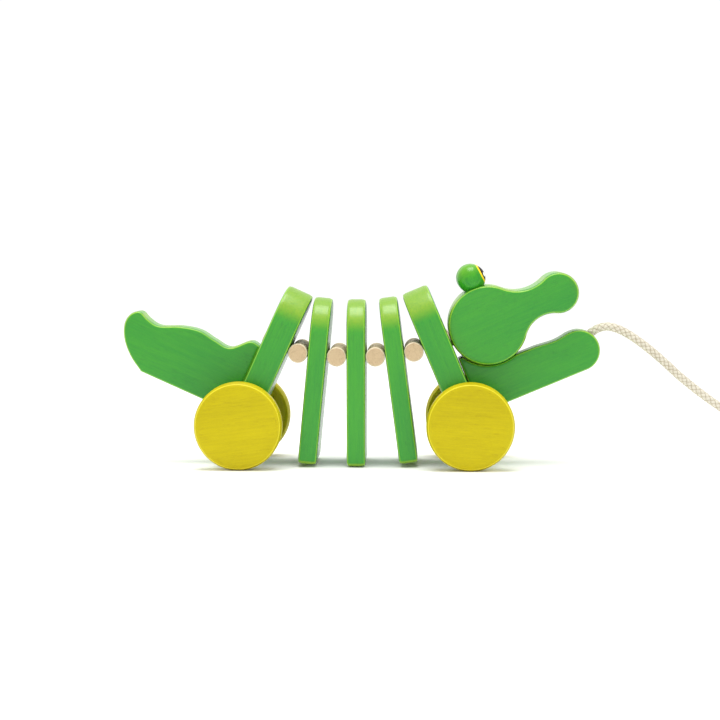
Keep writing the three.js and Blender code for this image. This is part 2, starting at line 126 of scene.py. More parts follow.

# %% [markdown]
# ## Building meshes from rings
#
# Nearly every piece here is a skin stretched over a row of rings: a turned wheel is
# rings round its axle, a rounded board is its outline drawn smaller and smaller towards
# each face, and a cord is rings along a line.  One function makes them all.  Primitive
# cylinders could be bevelled instead, but rings put points exactly where the wood is
# rounded over, and each ring can say how near it is to a rubbed edge, which the finish
# paints lighter, partly as wear and partly as a painted highlight along the edge.

# %% Rings into a mesh
def skin(name, rings, ends="fan", rubbed=None):
    """A closed mesh over rings of points in millimetres.  ends: fan, flat or loop."""
    count = len(rings[0])
    points = np.vstack(rings)
    faces = []
    spans = len(rings) if ends == "loop" else len(rings) - 1
    for i in range(spans):
        low = i * count
        high = (i + 1) % len(rings) * count
        for k in range(count):
            n = (k + 1) % count
            faces.append((low + k, low + n, high + n, high + k))
    weights = np.zeros(len(rings)) if rubbed is None else np.array(rubbed, float)
    weights = np.repeat(weights, count)
    last = len(points) - count
    if ends == "flat":
        faces.append(tuple(range(count))[::-1])
        faces.append(tuple(range(last, last + count)))
    if ends == "fan":
        middle = len(points)
        points = np.vstack([points, rings[0].mean(0), rings[-1].mean(0)])
        weights = np.append(weights, [0.0, 0.0])
        for k in range(count):
            n = (k + 1) % count
            faces.append((middle, n, k))
            faces.append((middle + 1, last + k, last + n))
    mesh = bpy.data.meshes.new(name)
    mesh.from_pydata((points * MM).tolist(), [], faces)
    mesh.attributes.new("rubbed", "FLOAT", "POINT").data.foreach_set("value", weights)
    tidy = bmesh.new()
    tidy.from_mesh(mesh)
    bmesh.ops.recalc_face_normals(tidy, faces=tidy.faces)
    tidy.to_mesh(mesh)
    tidy.free()
    piece = bpy.data.objects.new(name, mesh)
    scene.collection.objects.link(piece)
    return piece


def round_shading(piece, sharp=35.0):
    """Smooth shading that stops at hard edges and keeps broad faces flat."""
    piece.data.polygons.foreach_set("use_smooth", [True] * len(piece.data.polygons))
    piece.data.set_sharp_from_angle(angle=math.radians(sharp))
    weighted = piece.modifiers.new("flat faces", "WEIGHTED_NORMAL")
    weighted.keep_sharp = True
    weighted.weight = 80


print("ring skinning ready")

# %% [markdown]
# ## The pull cord
#
# The cord is round braided cotton, six millimetres thick and limp.  It leaves the jaw,
# humps over, slopes down to the floor, and the length that is put away lies there in a
# flat coil that ends in a knot.  A curve with a bevel would give a smooth hose, so the
# tube is built ring by ring instead: two families of yarns wind round it in opposite
# ways, and each small diamond where one yarn lies on top is raised like a pillow.

# %% The route of the cord
CORD_R = 3.0
FLOOR_GAP = 0.1
CORD_EXIT = (159, 0, 91.4)
CORD_ROUTE = [
    (147.2, 0, 83.9), (153.1, 0, 87.6), CORD_EXIT, (161.5, 0, 93), (165.6, 0, 95.1),
    (171.4, 0, 95.9), (178.6, 0, 94), (185.6, 0, 90.4), (193.2, 0, 85.3), (200.1, 0, 80),
    (206.8, 0, 74.4), (213.6, 0, 68.3), (220.1, 0, 62.3), (227, 0, 56.6), (233.7, 0, 51.3),
    (240.5, 0, 46.2), (247.1, 0, 41.6), (254, 0, 36.9), (261, 0, 31.7), (268, 0, 26),
    (275, 0, 20), (282, 0, 13.9), (289, 0, 8.4), (295.5, 0, 4.9), (302.5, 0, 3.3),
    (310, 0, 3.1),
]
COIL_CENTRE = (318, 39.4)
COIL_OUTER_R = 39.4
COIL_TURNS = 2.25
COIL_PITCH = 6.4
POINTS_PER_TURN = 24
POINTS_IN_LAST_BEND = 9
RING_STEP = 0.42
lying = FLOOR_GAP + CORD_R


def coil_points():
    """The flat coil from its outer turn inwards, then a half circle to its middle."""
    points = []
    for i in range(round(COIL_TURNS * POINTS_PER_TURN) + 1):
        turned = i / POINTS_PER_TURN
        r = COIL_OUTER_R - turned * COIL_PITCH
        angle = math.radians(360 * turned - 90)
        points.append((COIL_CENTRE[0] + r * math.cos(angle),
                       COIL_CENTRE[1] + r * math.sin(angle), lying))
    half = (COIL_OUTER_R - COIL_TURNS * COIL_PITCH) / 2
    for i in range(1, POINTS_IN_LAST_BEND + 1):
        angle = math.radians(180 * i / POINTS_IN_LAST_BEND)
        points.append((COIL_CENTRE[0] + half * (1 + math.cos(angle)),
                       COIL_CENTRE[1] + half * math.sin(angle), lying))
    return points


cord_line = even(smooth(CORD_ROUTE + coil_points()), RING_STEP)
cord_run = run_of(cord_line)[-1]
inside_jaw = run_of(smooth(CORD_ROUTE[:3]))[-1]
print("the cord runs for", round(cord_run, 1), "mm,", round(inside_jaw, 1), "mm in the jaw")

# %% [markdown]
# A braid repeats in two slanting directions.  Counting `u` along the cord and `v` round
# it, `u + v` numbers the yarns that wind one way and `u - v` those that wind the other.
# In each diamond the two numbers say which yarn is on top, and the height falls away to
# the diamond's sides.  The same `u` and `v` are kept on the mesh, so the finish can draw
# the fibres of each yarn, and painted shade in the gaps between them, exactly where the shape has them.

# %% A braided tube
PILLOW_SLOPE = 1.7
PILLOW_POWER = 0.6
CUT_END = 0.15  # the thinness of a tapered end, before its square root is taken


def turning_frames(line):
    """For each point, two directions across the line that never spin about it."""
    ahead = np.gradient(line, axis=0)
    ahead /= np.linalg.norm(ahead, axis=1)[:, None]
    start = np.array([0.0, 1.0, 0.0])
    side = start - ahead[0] * (start @ ahead[0])
    sides = []
    for direction in ahead:
        side = side - direction * (side @ direction)
        side /= np.linalg.norm(side)
        sides.append(side.copy())
    sides = np.array(sides)
    return sides, np.cross(ahead, sides)


def pillow(u, v):
    """Height of the braid, 0 in the gaps and 1 on top of a yarn."""
    one = u + v
    other = u - v
    across = one - np.floor(one) - 0.5
    along = other - np.floor(other) - 0.5
    swap = (np.floor(one) + np.floor(other)) % 2 == 1
    across, along = np.where(swap, along, across), np.where(swap, across, along)
    round_top = np.sqrt(1 - (PILLOW_SLOPE * across) ** 2)
    return round_top * np.clip(np.cos(np.pi * along), 0, 1) ** PILLOW_POWER


def braided(name, line, r, depth, yarns, pitch, sides, taper=0.0):
    """A braided tube along an even line in millimetres, with its yarns numbered on it."""
    first, second = turning_frames(line)
    angles = np.arange(sides) * 2 * np.pi / sides
    v = angles * yarns / (2 * np.pi)
    so_far = run_of(line)
    u = so_far / pitch
    rings = []
    for i, point in enumerate(line):
        r_here = r - depth * (1 - pillow(u[i], v))
        if taper:
            left = min(so_far[i], so_far[-1] - so_far[i])
            r_here = r_here * math.sqrt(min(1.0, CUT_END + left / taper))
        sideways = np.outer(np.cos(angles) * r_here, first[i])
        rings.append(point + sideways + np.outer(np.sin(angles) * r_here, second[i]))
    tube = skin(name, rings)
    yarn = tube.data.attributes.new("yarn", "FLOAT_VECTOR", "CORNER")
    loops = np.empty(len(tube.data.loops), int)
    tube.data.loops.foreach_get("vertex_index", loops)
    ring = np.minimum(loops // sides, len(line) - 1)
    k = loops % sides
    first_loop = np.empty(len(tube.data.polygons), int)
    tube.data.polygons.foreach_get("loop_start", first_loop)
    sizes = np.empty(len(tube.data.polygons), int)
    tube.data.polygons.foreach_get("loop_total", sizes)
    face = np.repeat(np.arange(len(sizes)), sizes)
    has_last = np.maximum.reduceat((k == sides - 1).astype(int), first_loop)[face]
    wrapped = np.where((has_last == 1) & (k == 0), sides, k)
    values = np.column_stack([u[ring], wrapped * yarns / sides, np.zeros(len(loops))])
    yarn.data.foreach_set("vector", values.ravel())
    tube.data.polygons.foreach_set("use_smooth", [True] * len(tube.data.polygons))
    return tube


CORD_YARNS = 5
CORD_PITCH = 4.2
CORD_GROOVE = 0.55
CORD_SWELL = 0.05
pull_cord = braided("pull_cord_braid", cord_line, CORD_R + CORD_SWELL, CORD_GROOVE, CORD_YARNS,
                    CORD_PITCH, sides=48)
print("the braided cord has", len(pull_cord.data.vertices), "points")

# %% [markdown]
# An overhand knot is a line that passes through its own loop.  The curve called a
# trefoil is that knot with its ends joined, so the knot here is a trefoil left open,
# pulled tight, with a short rubbed end of the cord poking out beyond it.

# %% The knot in the end of the cord
KNOT_SPREAD = 2.5
KNOT_RISE = 2.5
KNOT_CORD_R = 2.85
KNOT_BACK = 8.6
KNOT_STEPS = 44
KNOT_START = -60
KNOT_SWEEP = 330
KNOT_PITCH = 4.0
KNOT_GROOVE = 0.45
KNOT_RING_STEP = 0.4
KNOT_TAPER = 2.0
END_ROUTE = [(0, -1, 1), (1, -7, 0.6), (3.5, -13, 0)]  # from the knot's middle, out along the floor


def knot_points():
    """A trefoil left open, lying on the floor inside the coil."""
    points = []
    for i in range(KNOT_STEPS + 1):
        t = math.radians(KNOT_START + KNOT_SWEEP * i / KNOT_STEPS)
        points.append((
            COIL_CENTRE[0] + KNOT_SPREAD * (math.cos(t) - 2 * math.cos(2 * t)),
            COIL_CENTRE[1] - KNOT_BACK + KNOT_SPREAD * (math.sin(t) + 2 * math.sin(2 * t)),
            FLOOR_GAP + KNOT_RISE + KNOT_CORD_R - KNOT_RISE * math.sin(3 * t),
        ))
    return points


def knotted(name, points):
    """A stretch of the same cord, pulled a little thinner, with soft ends."""
    line = even(smooth(points), KNOT_RING_STEP)
    return braided(name, line, KNOT_CORD_R, KNOT_GROOVE, CORD_YARNS, KNOT_PITCH, 40, KNOT_TAPER)


knot = knotted("cord_end_knot", knot_points())
knot_tail = knotted("cord_end_tail", [
    (COIL_CENTRE[0] + x, COIL_CENTRE[1] - KNOT_BACK + y, lying + z) for x, y, z in END_ROUTE
])
print("knot made with", len(knot.data.vertices) + len(knot_tail.data.vertices), "points")

# %% [markdown]
# The cord, its knot and its loose end move with the front end, which the cord is glued to.

for piece in (pull_cord, knot, knot_tail):
    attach(piece, "front_end")
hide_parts("pull_cord", "pull_cord_coil", "pull_cord_end")
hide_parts("pull_cord_knot")

# %% [markdown]
# ## Where the plates stand
#
# No plate is placed by eye.  The joints say where each dowel and each axle is, and the
# plates follow: a body plate stands halfway between its two dowels, square to the line
# that joins them, and an end plate is leant until its dowel and its axle are both where
# its own drawing has them.  Each station is a matrix whose Z runs up its plate and
# whose origin is on the line of the two body cords.

# %% Stations of plates and dowels
PLATE_WIDTH = 52.0
PLATE_TOP = 38.6
PLATE_FOOT = 75.4
BODY_THICK = 13.0
END_THICK = 19.0
DOWEL_R = 6.5
GLUE_GAP = 0.3
AXLE_DROP = 60.6

joint_place = {j["name"]: Vector(j["pos_m"]) / MM for j in frame["joints"]}
dowel_place = [joint_place[f"gap_{i}_bend"] for i in (1, 2, 3, 4)]


def lean_of(line):
    """How far a line that should run straight forward has been tipped down, in radians."""
    return -math.atan2(line.z, line.x)


def station(place, lean):
    return Matrix.Translation(place * MM) @ Matrix.Rotation(lean, 4, "Y")


def end_station(dowel, axle, outward):
    """An end plate's station, from the dowel it leans on and the axle it carries."""
    reach = END_THICK / 2 + GLUE_GAP + DOWEL_R
    drawn = Vector((outward * reach, 0, -AXLE_DROP))
    lean = lean_of(axle - dowel) - lean_of(drawn)
    return dowel + Matrix.Rotation(lean, 3, "Y") @ Vector((outward * reach, 0, 0)), lean


rear = end_station(dowel_place[0], joint_place["rear_wheels_roll"], -1)
front = end_station(dowel_place[3], joint_place["front_wheels_roll"], 1)
middles = [((a + b) / 2, lean_of(b - a)) for a, b in zip(dowel_place, dowel_place[1:])]
plate_seats = [rear, *middles, front]
plate_stations = [station(*seat) for seat in plate_seats]
plate_leans = [seat[1] for seat in plate_seats]
dowel_leans = [(a + b) / 2 for a, b in zip(plate_leans, plate_leans[1:])]
dowel_stations = [station(*seat) for seat in zip(dowel_place, dowel_leans)]
rear_station = plate_stations[0]
front_station = plate_stations[4]
PLATE_BODIES = ["rear_end", "body_1", "body_2", "body_3", "front_end"]
print("plates lean by", [round(math.degrees(lean), 1) for lean in plate_leans], "degrees")

# %% [markdown]
# ## Drawing outlines
#
# The boards are cut from sheet with a saw, so an outline is a few straight lines and
# arcs.  Arcs are drawn by a formula with a point at least every few degrees.  A second
# small tool rounds off the corners of a section, and notes how near each point is to
# the rounding: a real toy is tumbled until its edges are soft, and the stain there is
# rubbed thin.  The lighter colour that the finish gives there is partly that wear and
# partly a painted highlight along the edges.

# %% Arcs and softened corners
def arc(x, y, r, start, end, every=4.0):
    """Points on an arc, with angles in degrees."""
    steps = max(2, round(abs(end - start) / every))
    angles = [math.radians(start + (end - start) * i / steps) for i in range(steps + 1)]
    return [(x + r * math.cos(a), y + r * math.sin(a)) for a in angles]


def soften(corners, steps=6):
    """A section's (x, y, radius) corners rounded off.  Gives points and how rubbed each is, which is
    drawn lighter as wear and as a painted edge highlight.
    """
    points = []
    rubbed = []
    for i, (x, y, r) in enumerate(corners):
        corner = Vector((x, y))
        if r == 0:
            points.append((x, y))
            rubbed.append(0.0)
            continue
        back = (Vector(corners[i - 1][:2]) - corner).normalized()
        on = (Vector(corners[(i + 1) % len(corners)][:2]) - corner).normalized()
        half = back.angle(on) / 2
        reach = r / math.tan(half)
        centre = corner + (back + on).normalized() * r / math.sin(half)
        first = corner + back * reach - centre
        last = corner + on * reach - centre
        points.append(tuple(corner + back * (reach + r)))
        rubbed.append(0.0)
        for k in range(steps + 1):
            share = k / steps
            points.append(tuple(centre + first.slerp(last, share)))
            rubbed.append(math.sin(math.pi * share))
        points.append(tuple(corner + on * (reach + r)))
        rubbed.append(0.0)
    return points, rubbed


print("outline tools ready")

# %% [markdown]
# ## Boards, turned pieces and drilled holes
#
# A board is its outline swept through its thickness, drawn in by a little near both
# faces so that the edge is round.  A turned piece is a section swept round the Y axis,
# which is the way every axle and dowel of this toy runs.  Holes are drilled with a
# boolean cut, because the cords, plugs and pegs really do go into them, and the one in
# the jaw's tip can be seen into.

# %% Boards, turnings and drills
EDGE_ROUND = 1.4
OVERSHOOT = 1.0  # how far outside the wood a drill starts


def pull_in(outline, distance):
    """An anticlockwise outline moved inwards everywhere by one distance."""
    p = np.array(outline, float)
    before = p - np.roll(p, 1, axis=0)
    after = np.roll(p, -1, axis=0) - p
    before /= np.linalg.norm(before, axis=1)[:, None]
    after /= np.linalg.norm(after, axis=1)[:, None]
    inward = np.column_stack([-before[:, 1] - after[:, 1], before[:, 0] + after[:, 0]])
    inward /= np.linalg.norm(inward, axis=1)[:, None]
    square = np.column_stack([-after[:, 1], after[:, 0]])
    stretch = np.clip((inward * square).sum(1), 0.5, 1)
    return p + inward * (distance / stretch)[:, None]


def board(name, outline, thick, place, across, edge=EDGE_ROUND, sanded_and_sheen=0.0):
    """A rounded board.  across: its outline is in Y and Z; otherwise it is in X and Z."""
    half = thick / 2
    inside = 4 * edge  # only gives the faces their direction, and is left out of the rings
    section, rubbed = soften([(inside, -half, 0), (0, -half, edge), (0, half, edge), (inside, half, 0)])
    rings = []
    for inset, level in section[1:-1]:
        flat = pull_in(outline, inset)
        levels = np.full(len(flat), level)
        if across:
            rings.append(np.column_stack([levels, flat[:, 0], flat[:, 1]]))
        else:
            rings.append(np.column_stack([flat[:, 0], -levels, flat[:, 1]]))
    middle = len(rings) // 2
    rubbed = rubbed[1:-1]
    # the middle rings, the board's narrow edge, take the lighter edge tone: sanding, and a painted sheen
    rubbed[middle - 1] = rubbed[middle] = sanded_and_sheen
    piece = skin(name, rings, "flat", rubbed)
    piece.matrix_world = place
    return piece


def ring(r, y, sides, centre=(0, 0)):
    """A ring of points at one Y, round a centre in X and Z.  r: one radius, or one for each point."""
    angles = np.arange(sides) * 2 * np.pi / sides
    x = centre[0] + r * np.cos(angles)
    z = centre[1] + r * np.sin(angles)
    return np.column_stack([x, np.full(sides, y), z])


def turned(name, corners, place, sides=64, ends="fan", steps=5):
    """A section of (radius, Y, rounding) corners swept round the Y axis."""
    section, rubbed = soften(corners, steps)
    if ends == "fan":
        section = section[1:-1]
        rubbed = rubbed[1:-1]
    piece = skin(name, [ring(r, y, sides) for r, y in section], ends, rubbed)
    piece.matrix_world = place
    return piece


def aimed(start, end):
    """A matrix that lays the Y axis along the line from start to end, from its middle."""
    start = Vector(start)
    end = Vector(end)
    turn = (end - start).to_track_quat("Y", "Z").to_matrix().to_4x4()
    return Matrix.Translation((start + end) / 2 * MM) @ turn


def carve(piece, tool):
    """Cuts one shape out of another and throws the tool away."""
    cut = piece.modifiers.new("cut", "BOOLEAN")
    cut.operation = "DIFFERENCE"
    cut.solver = "EXACT"
    cut.object = tool
    bpy.context.view_layer.update()
    graph = bpy.context.evaluated_depsgraph_get()
    carved = bpy.data.meshes.new_from_object(piece.evaluated_get(graph))
    whole = piece.data
    piece.modifiers.clear()
    piece.data = carved
    bpy.data.meshes.remove(whole)
    bpy.data.objects.remove(tool)


def drill(piece, start, end, r, sides=32):
    """Drills a round hole between two points of the piece's own drawing."""
    half = (Vector(end) - Vector(start)).length / 2
    bit = skin("drill", [ring(r, y, sides) for y in (-half, half)], "flat")
    bit.matrix_world = piece.matrix_world @ aimed(start, end)
    carve(piece, bit)


print("boards, turnings and drills ready")

# %% [markdown]
# ## Grain
#
# Wood has its figure all the way through, so the finish is worked out from a place in
# the log and not from a flat picture.  Each piece carries that place on its points: its
# own drawing with the grain's direction first, moved to a part of the log that no other
# piece uses.  A second value says how squarely the surface cuts across the grain, since
# end grain takes the stain differently; in the green plates, whose grain stands upright,
# it also paints the arched tops a lighter yellow-green as painted top light.  It is kept
# on the corners of the faces and not on the points, because a point on the rim of a hole
# belongs to the flat face and to the bore, and their shared value would smear across the
# whole face.

# %% Give a piece its grain
LOG_STRIDE = np.array([61.0, 17.3, 29.1])
pieces_sawn = 0


def give_grain(piece, along):
    """along: 0, 1 or 2, the axis of the piece's own drawing that the grain follows."""
    global pieces_sawn
    pieces_sawn += 1
    count = len(piece.data.vertices)
    places = np.empty(count * 3)
    piece.data.vertices.foreach_get("co", places)
    places = np.roll(places.reshape(-1, 3) / MM, -along, axis=1)
    places = places + LOG_STRIDE * pieces_sawn
    grain = piece.data.attributes.new("grain", "FLOAT_VECTOR", "POINT")
    grain.data.foreach_set("vector", places.ravel())
    normals = np.empty(len(piece.data.loops) * 3)
    piece.data.corner_normals.foreach_get("vector", normals)
    ending = piece.data.attributes.new("end_grain", "FLOAT", "CORNER")
    ending.data.foreach_set("value", np.abs(normals.reshape(-1, 3)[:, along]))
    if "rubbed" not in piece.data.attributes:
        piece.data.attributes.new("rubbed", "FLOAT", "POINT")


def finish_wood(piece, body, along, material, slot, *nodes):
    """The last steps for any wooden piece: grain, place, shading, finish, body and node."""
    round_shading(piece)
    give_grain(piece, along)
    bpy.context.view_layer.update()
    piece.data.transform(piece.matrix_world)
    piece.matrix_world = Matrix.Identity(4)
    piece.data.materials.append(material)
    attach(piece, body)
    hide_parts(*nodes)


print("each piece is sawn", LOG_STRIDE, "mm further into the log")

# %% [markdown]
# ## Shader maths as ordinary arithmetic
#
# A finish is a small program made of nodes.  Writing each Math node out by hand hides
# what it does, so a wire, which is one output of one node, learns the ordinary
# operators: `1 - mask * 0.3` then adds its own nodes.  Colours and vectors go through
# nodes of their own, because a Math node would turn a colour grey.

# %% Wires and finishes
class Wire:
    """One socket of a finish, with arithmetic."""

    def __init__(self, finish, socket):
        self.finish = finish
        self.socket = socket

    def maths(self, operation, *values):
        return self.finish.node("Math", {"operation": operation}, dict(enumerate(values)))

    def __add__(self, other):
        return self.maths("ADD", self, other)

    def __sub__(self, other):
        return self.maths("SUBTRACT", self, other)

    def __rsub__(self, other):
        return self.maths("SUBTRACT", other, self)

    def __mul__(self, other):
        return self.maths("MULTIPLY", self, other)

    __radd__ = __add__
    __rmul__ = __mul__


def tint(code):
    """A display colour such as 4fa94a as the linear colour that a shader works in."""
    shown = [int(code[i:i + 2], 16) / 255 for i in (0, 2, 4)]
    return (*[c / 12.92 if c <= 0.04045 else ((c + 0.055) / 1.055) ** 2.4 for c in shown], 1.0)


class Finish:
    """A material under construction."""

    def __init__(self, name):
        self.material = bpy.data.materials.new(name)
        self.material.use_nodes = True
        self.tree = self.material.node_tree
        self.shader = self.tree.nodes["Principled BSDF"]

    def feed(self, socket, value):
        if isinstance(value, Wire):
            self.tree.links.new(value.socket, socket)
        else:
            socket.default_value = value

    def node(self, kind, settings=None, values=None, out=0):
        """Any node: its settings are set first, then its sockets' values or links."""
        made = self.tree.nodes.new("ShaderNode" + kind)
        for key, value in (settings or {}).items():
            if key == "stops":
                ramp = made.color_ramp.elements
                while len(ramp) < len(value):
                    ramp.new(1.0)
                for stop, (place, level) in zip(ramp, value):
                    stop.position = place
                    stop.color = (level, level, level, 1.0)
            else:
                setattr(made, key, value)
        for key, value in (values or {}).items():
            self.feed(made.inputs[key], value)
        return Wire(self, made.outputs[out])

    def attribute(self, name, out="Vector"):
        return self.node("Attribute", {"attribute_name": name}, out=out)

    def noise(self, place, stretch, detail=2.0, rough=0.5):
        """Noise over a place, squeezed by a different amount each way."""
        squeezed = self.node("VectorMath", {"operation": "MULTIPLY"}, {0: place, 1: stretch})
        return self.node("TexNoise", None, {"Vector": squeezed, "Scale": 1.0, "Detail": detail,
                                            "Roughness": rough})

    def fade(self, value, low, high, to_low=0.0, to_high=1.0):
        """A smooth step from one level to another."""
        return self.node("MapRange", {"interpolation_type": "SMOOTHSTEP"},
                         {"Value": value, "From Min": low, "From Max": high,
                          "To Min": to_low, "To Max": to_high})

    def mix(self, share, first, second):
        """Two colours mixed by a share."""
        settings = {"data_type": "RGBA", "clamp_factor": True}
        return self.node("Mix", settings, {0: share, 6: first, 7: second}, out=2)

    def bump(self, height, strength, depth):
        return self.node("Bump", None, {"Height": height, "Strength": strength, "Distance": depth})

    def finish(self, colour, roughness, normal, fixed=None):
        """Joins the varying values to the shader and sets its fixed ones, given by name."""
        self.feed(self.shader.inputs["Base Color"], colour)
        self.feed(self.shader.inputs["Roughness"], roughness)
        self.feed(self.shader.inputs["Normal"], normal)
        for name, value in (fixed or {}).items():
            self.shader.inputs[name].default_value = value
        print("finish", self.material.name, "has", len(self.tree.nodes), "nodes")
        return self.material


print("a finish can now be written as sums")

# %% [markdown]
# ## Stained and lacquered wood
#
# The wood is rubberwood: pale, even, and full of fine open pores that run along the
# grain, which show as short dark dashes on a face and as specks on end grain.  A water
# stain sinks in unevenly, so there are soft lighter and darker bands along the grain,
# broad clouds, and end grain of another shade; on the green plates, whose grain stands
# upright, the lighter yellow-green end tone of the arched tops is also painted top light.
# There are thin bright lines where the edges were rubbed before the lacquer went on,
# which are partly wear and partly a painted highlight along the edges, and the whole
# narrow edge of the tail, head and jaw takes that tone as sanding and a painted sheen.
# One function makes the wood in any stain.  A picture of wood could be laid on instead,
# but it would not run through the piece.

# %% The wood finish
def wood(name, light, dark, end, edge, pore, deep=0.3, figure=1.0, open_pores=0.62, rough=0.45,
         lacquer=0.15, shine=0.25):
    """Wood in five colours.  deep: how dark the pores are; figure: how strong the bands are."""
    f = Finish(name)
    place = f.attribute("grain")
    clouds = f.noise(place, (0.010, 0.03, 0.03), 2.0)
    streaks = f.noise(place, (0.03, 0.9, 0.9), 3.0, 0.6)
    threads = f.noise(place, (0.09, 3.4, 3.4), 2.0, 0.6)
    years = f.noise(place, (0.004, 0.09, 0.05), 2.0)
    year_lines = f.node("Math", {"operation": "PINGPONG"}, {0: years * 18.0, 1: 1.0})
    flecks = f.noise(place, (0.7, 4.5, 4.5), 1.0)
    pores = f.fade(f.noise(place, (0.15, 2.1, 2.1), 2.0, 0.7), open_pores - 0.06, open_pores + 0.05)
    pore_patches = f.fade(f.noise(place, (0.02, 0.2, 0.2), 1.0), 0.35, 0.65, 0.4)
    specks = pores * pore_patches
    bands = (streaks - 0.5) * 0.9 + (threads - 0.5) * 0.7 + (clouds - 0.5) * 1.0
    drawn = bands + (year_lines - 0.5) * 0.12 + (flecks - 0.5) * 0.8
    colour = f.mix(f.fade(drawn * figure + 0.5, 0.0, 1.0), tint(light), tint(dark))
    # end-grain share: on the green plates it puts the lighter end tone on the upward arched tops, a stain
    # shade and painted top light
    across = f.fade(f.attribute("end_grain", "Fac"), 0.12, 0.55)
    colour = f.mix(across * ((streaks - 0.5) * 0.9 + 0.85), colour, tint(end))
    colour = f.mix(specks * deep, colour, tint(pore))
    # edges drawn lighter: partly wear, partly a painted highlight along the edges
    edge_wear_and_sheen = f.attribute("rubbed", "Fac") * (0.8 + (streaks - 0.5) * 0.9)
    colour = f.mix(f.fade(edge_wear_and_sheen, 0.2, 0.9, 0.0, 0.75), colour, tint(edge))
    roughness = (threads - 0.5) * 0.16 + (clouds - 0.5) * 0.1 + rough + specks * 0.15
    height = (threads - 0.5) * 0.5 + (streaks - 0.5) * 0.5 + (flecks - 0.5) * 0.4 - specks * 0.9
    normal = f.bump(height * (across * 1.2 + 1), 0.45, 0.00016)
    return f.finish(colour, roughness, normal, {
        "Coat Weight": lacquer, "Coat Roughness": 0.25, "IOR": 1.4, "Specular IOR Level": shine})


# the green's end tone is lighter and yellower than its faces: painted top light on the plates' arched
# tops
green_wood = wood("green stained wood", "3f9c20", "1c8226", "7fa622", "98cc38", "125c2a", figure=0.58,
                  rough=0.4, lacquer=0.5)
yellow_wood = wood("yellow stained wood", "c2b306", "ae9f06", "c4b614", "e6d838", "8f7810", figure=0.8,
                   lacquer=0.1, shine=0.15)
bare_wood = wood("bare wood", "d2be9a", "c2a883", "c6ae8a", "efe2c8", "6f5138", deep=0.55, figure=1.1,
                 open_pores=0.6, rough=0.55, lacquer=0.05, shine=0.3)

# %% [markdown]
# ## Braided cotton
#
# Each diamond of the braid is a short stretch of one yarn.  The finish reads the yarn
# numbers that the cord was built with, finds how far each point is from the middle of
# its yarn, draws the yarn's own fibres as fine slanting lines, and darkens the gaps
# between yarns towards tan as painted shade.  Cotton has no gloss, so it gets a high
# roughness and a little sheen.

# %% The cotton finish
THREADS = 4  # laid side by side in each yarn


def cotton_finish(name, light, dark):
    f = Finish(name)
    yarn = f.attribute("yarn")
    u = f.node("SeparateXYZ", None, {0: yarn})
    v = f.node("SeparateXYZ", None, {0: yarn}, out=1)
    one = u + v
    other = u - v
    across_one = f.node("Math", {"operation": "FRACT"}, {0: one}) - 0.5
    across_other = f.node("Math", {"operation": "FRACT"}, {0: other}) - 0.5
    whole_one = f.node("Math", {"operation": "FLOOR"}, {0: one})
    whole_other = f.node("Math", {"operation": "FLOOR"}, {0: other})
    cell = whole_one + whole_other
    swap = f.node("Math", {"operation": "FLOORED_MODULO"}, {0: cell, 1: 2.0})
    across = across_one * (1 - swap) + across_other * swap
    along = across_other * (1 - swap) + across_one * swap
    numbers = f.node("CombineXYZ", None, {0: across * 7.0, 1: along * 1.2, 2: cell * 3.7})
    fibres = f.node("TexNoise", None, {"Vector": numbers, "Scale": 1.0, "Detail": 3.0, "Roughness": 0.6})
    edge_near = f.node("Math", {"operation": "ABSOLUTE"}, {0: across})
    end_near = f.node("Math", {"operation": "ABSOLUTE"}, {0: along})
    threads = f.node("Math", {"operation": "SINE"}, {0: across * (2 * math.pi * THREADS)})
    # painted shade in the gaps between yarns, darkest where a yarn dives under its neighbour
    gap_shade = f.fade(end_near, 0.2, 0.5) + f.fade(edge_near, 0.4, 0.5) * 0.4
    soiled = f.noise(yarn, (0.35, 0.3, 1.0), 2.0)
    dark_share = gap_shade * 0.6 + (0.5 - fibres) * 0.55 + (soiled - 0.5) * 0.45 + threads * -0.06
    yarn_tone = f.node("TexWhiteNoise", {"noise_dimensions": "1D"}, {"W": cell}) - 0.5
    colour = f.mix(dark_share + yarn_tone * 0.12, tint(light), tint(dark))
    height = (fibres - 0.5) * 0.9 + threads * 0.25 - gap_shade * 0.5
    normal = f.bump(height, 0.8, 0.0003)
    return f.finish(colour, 0.9, normal, {"Sheen Weight": 0.25, "Sheen Roughness": 0.5})


cotton = cotton_finish("braided cotton", "d8d2c0", "93805c")
for piece in (pull_cord, knot, knot_tail):
    piece.data.materials.append(cotton)

# %% [markdown]
# ## Painted eyes
#
# An eye is a wooden bead dipped in green gloss paint, and its upper side is painted a
# lighter yellow-green as painted top light.  A black pupil is painted on its front with a
# thin yellow ring round it and a white dot near its middle; the dot is turned toward the
# toy's right on both eyes, so it is print and a painted glint at once.  The mesh keeps each
# point's direction from the bead's middle, and the finish compares it with the way the eye
# looks: a dot product falls off evenly all round, so the lines that it draws are circles,
# however the mesh runs, and a little noise gives them a brush's wobble.

# %% The eye paint
GAZE_LIFT = 5.0
RING_OUTER = 45.5
RING_INNER = 37.0
DOT_SIZE = 9.5
DOT_DROP = 8.0
DOT_ASIDE = 0.34
PAINT_EDGE = 0.006
BRUSH_WOBBLE = 0.012


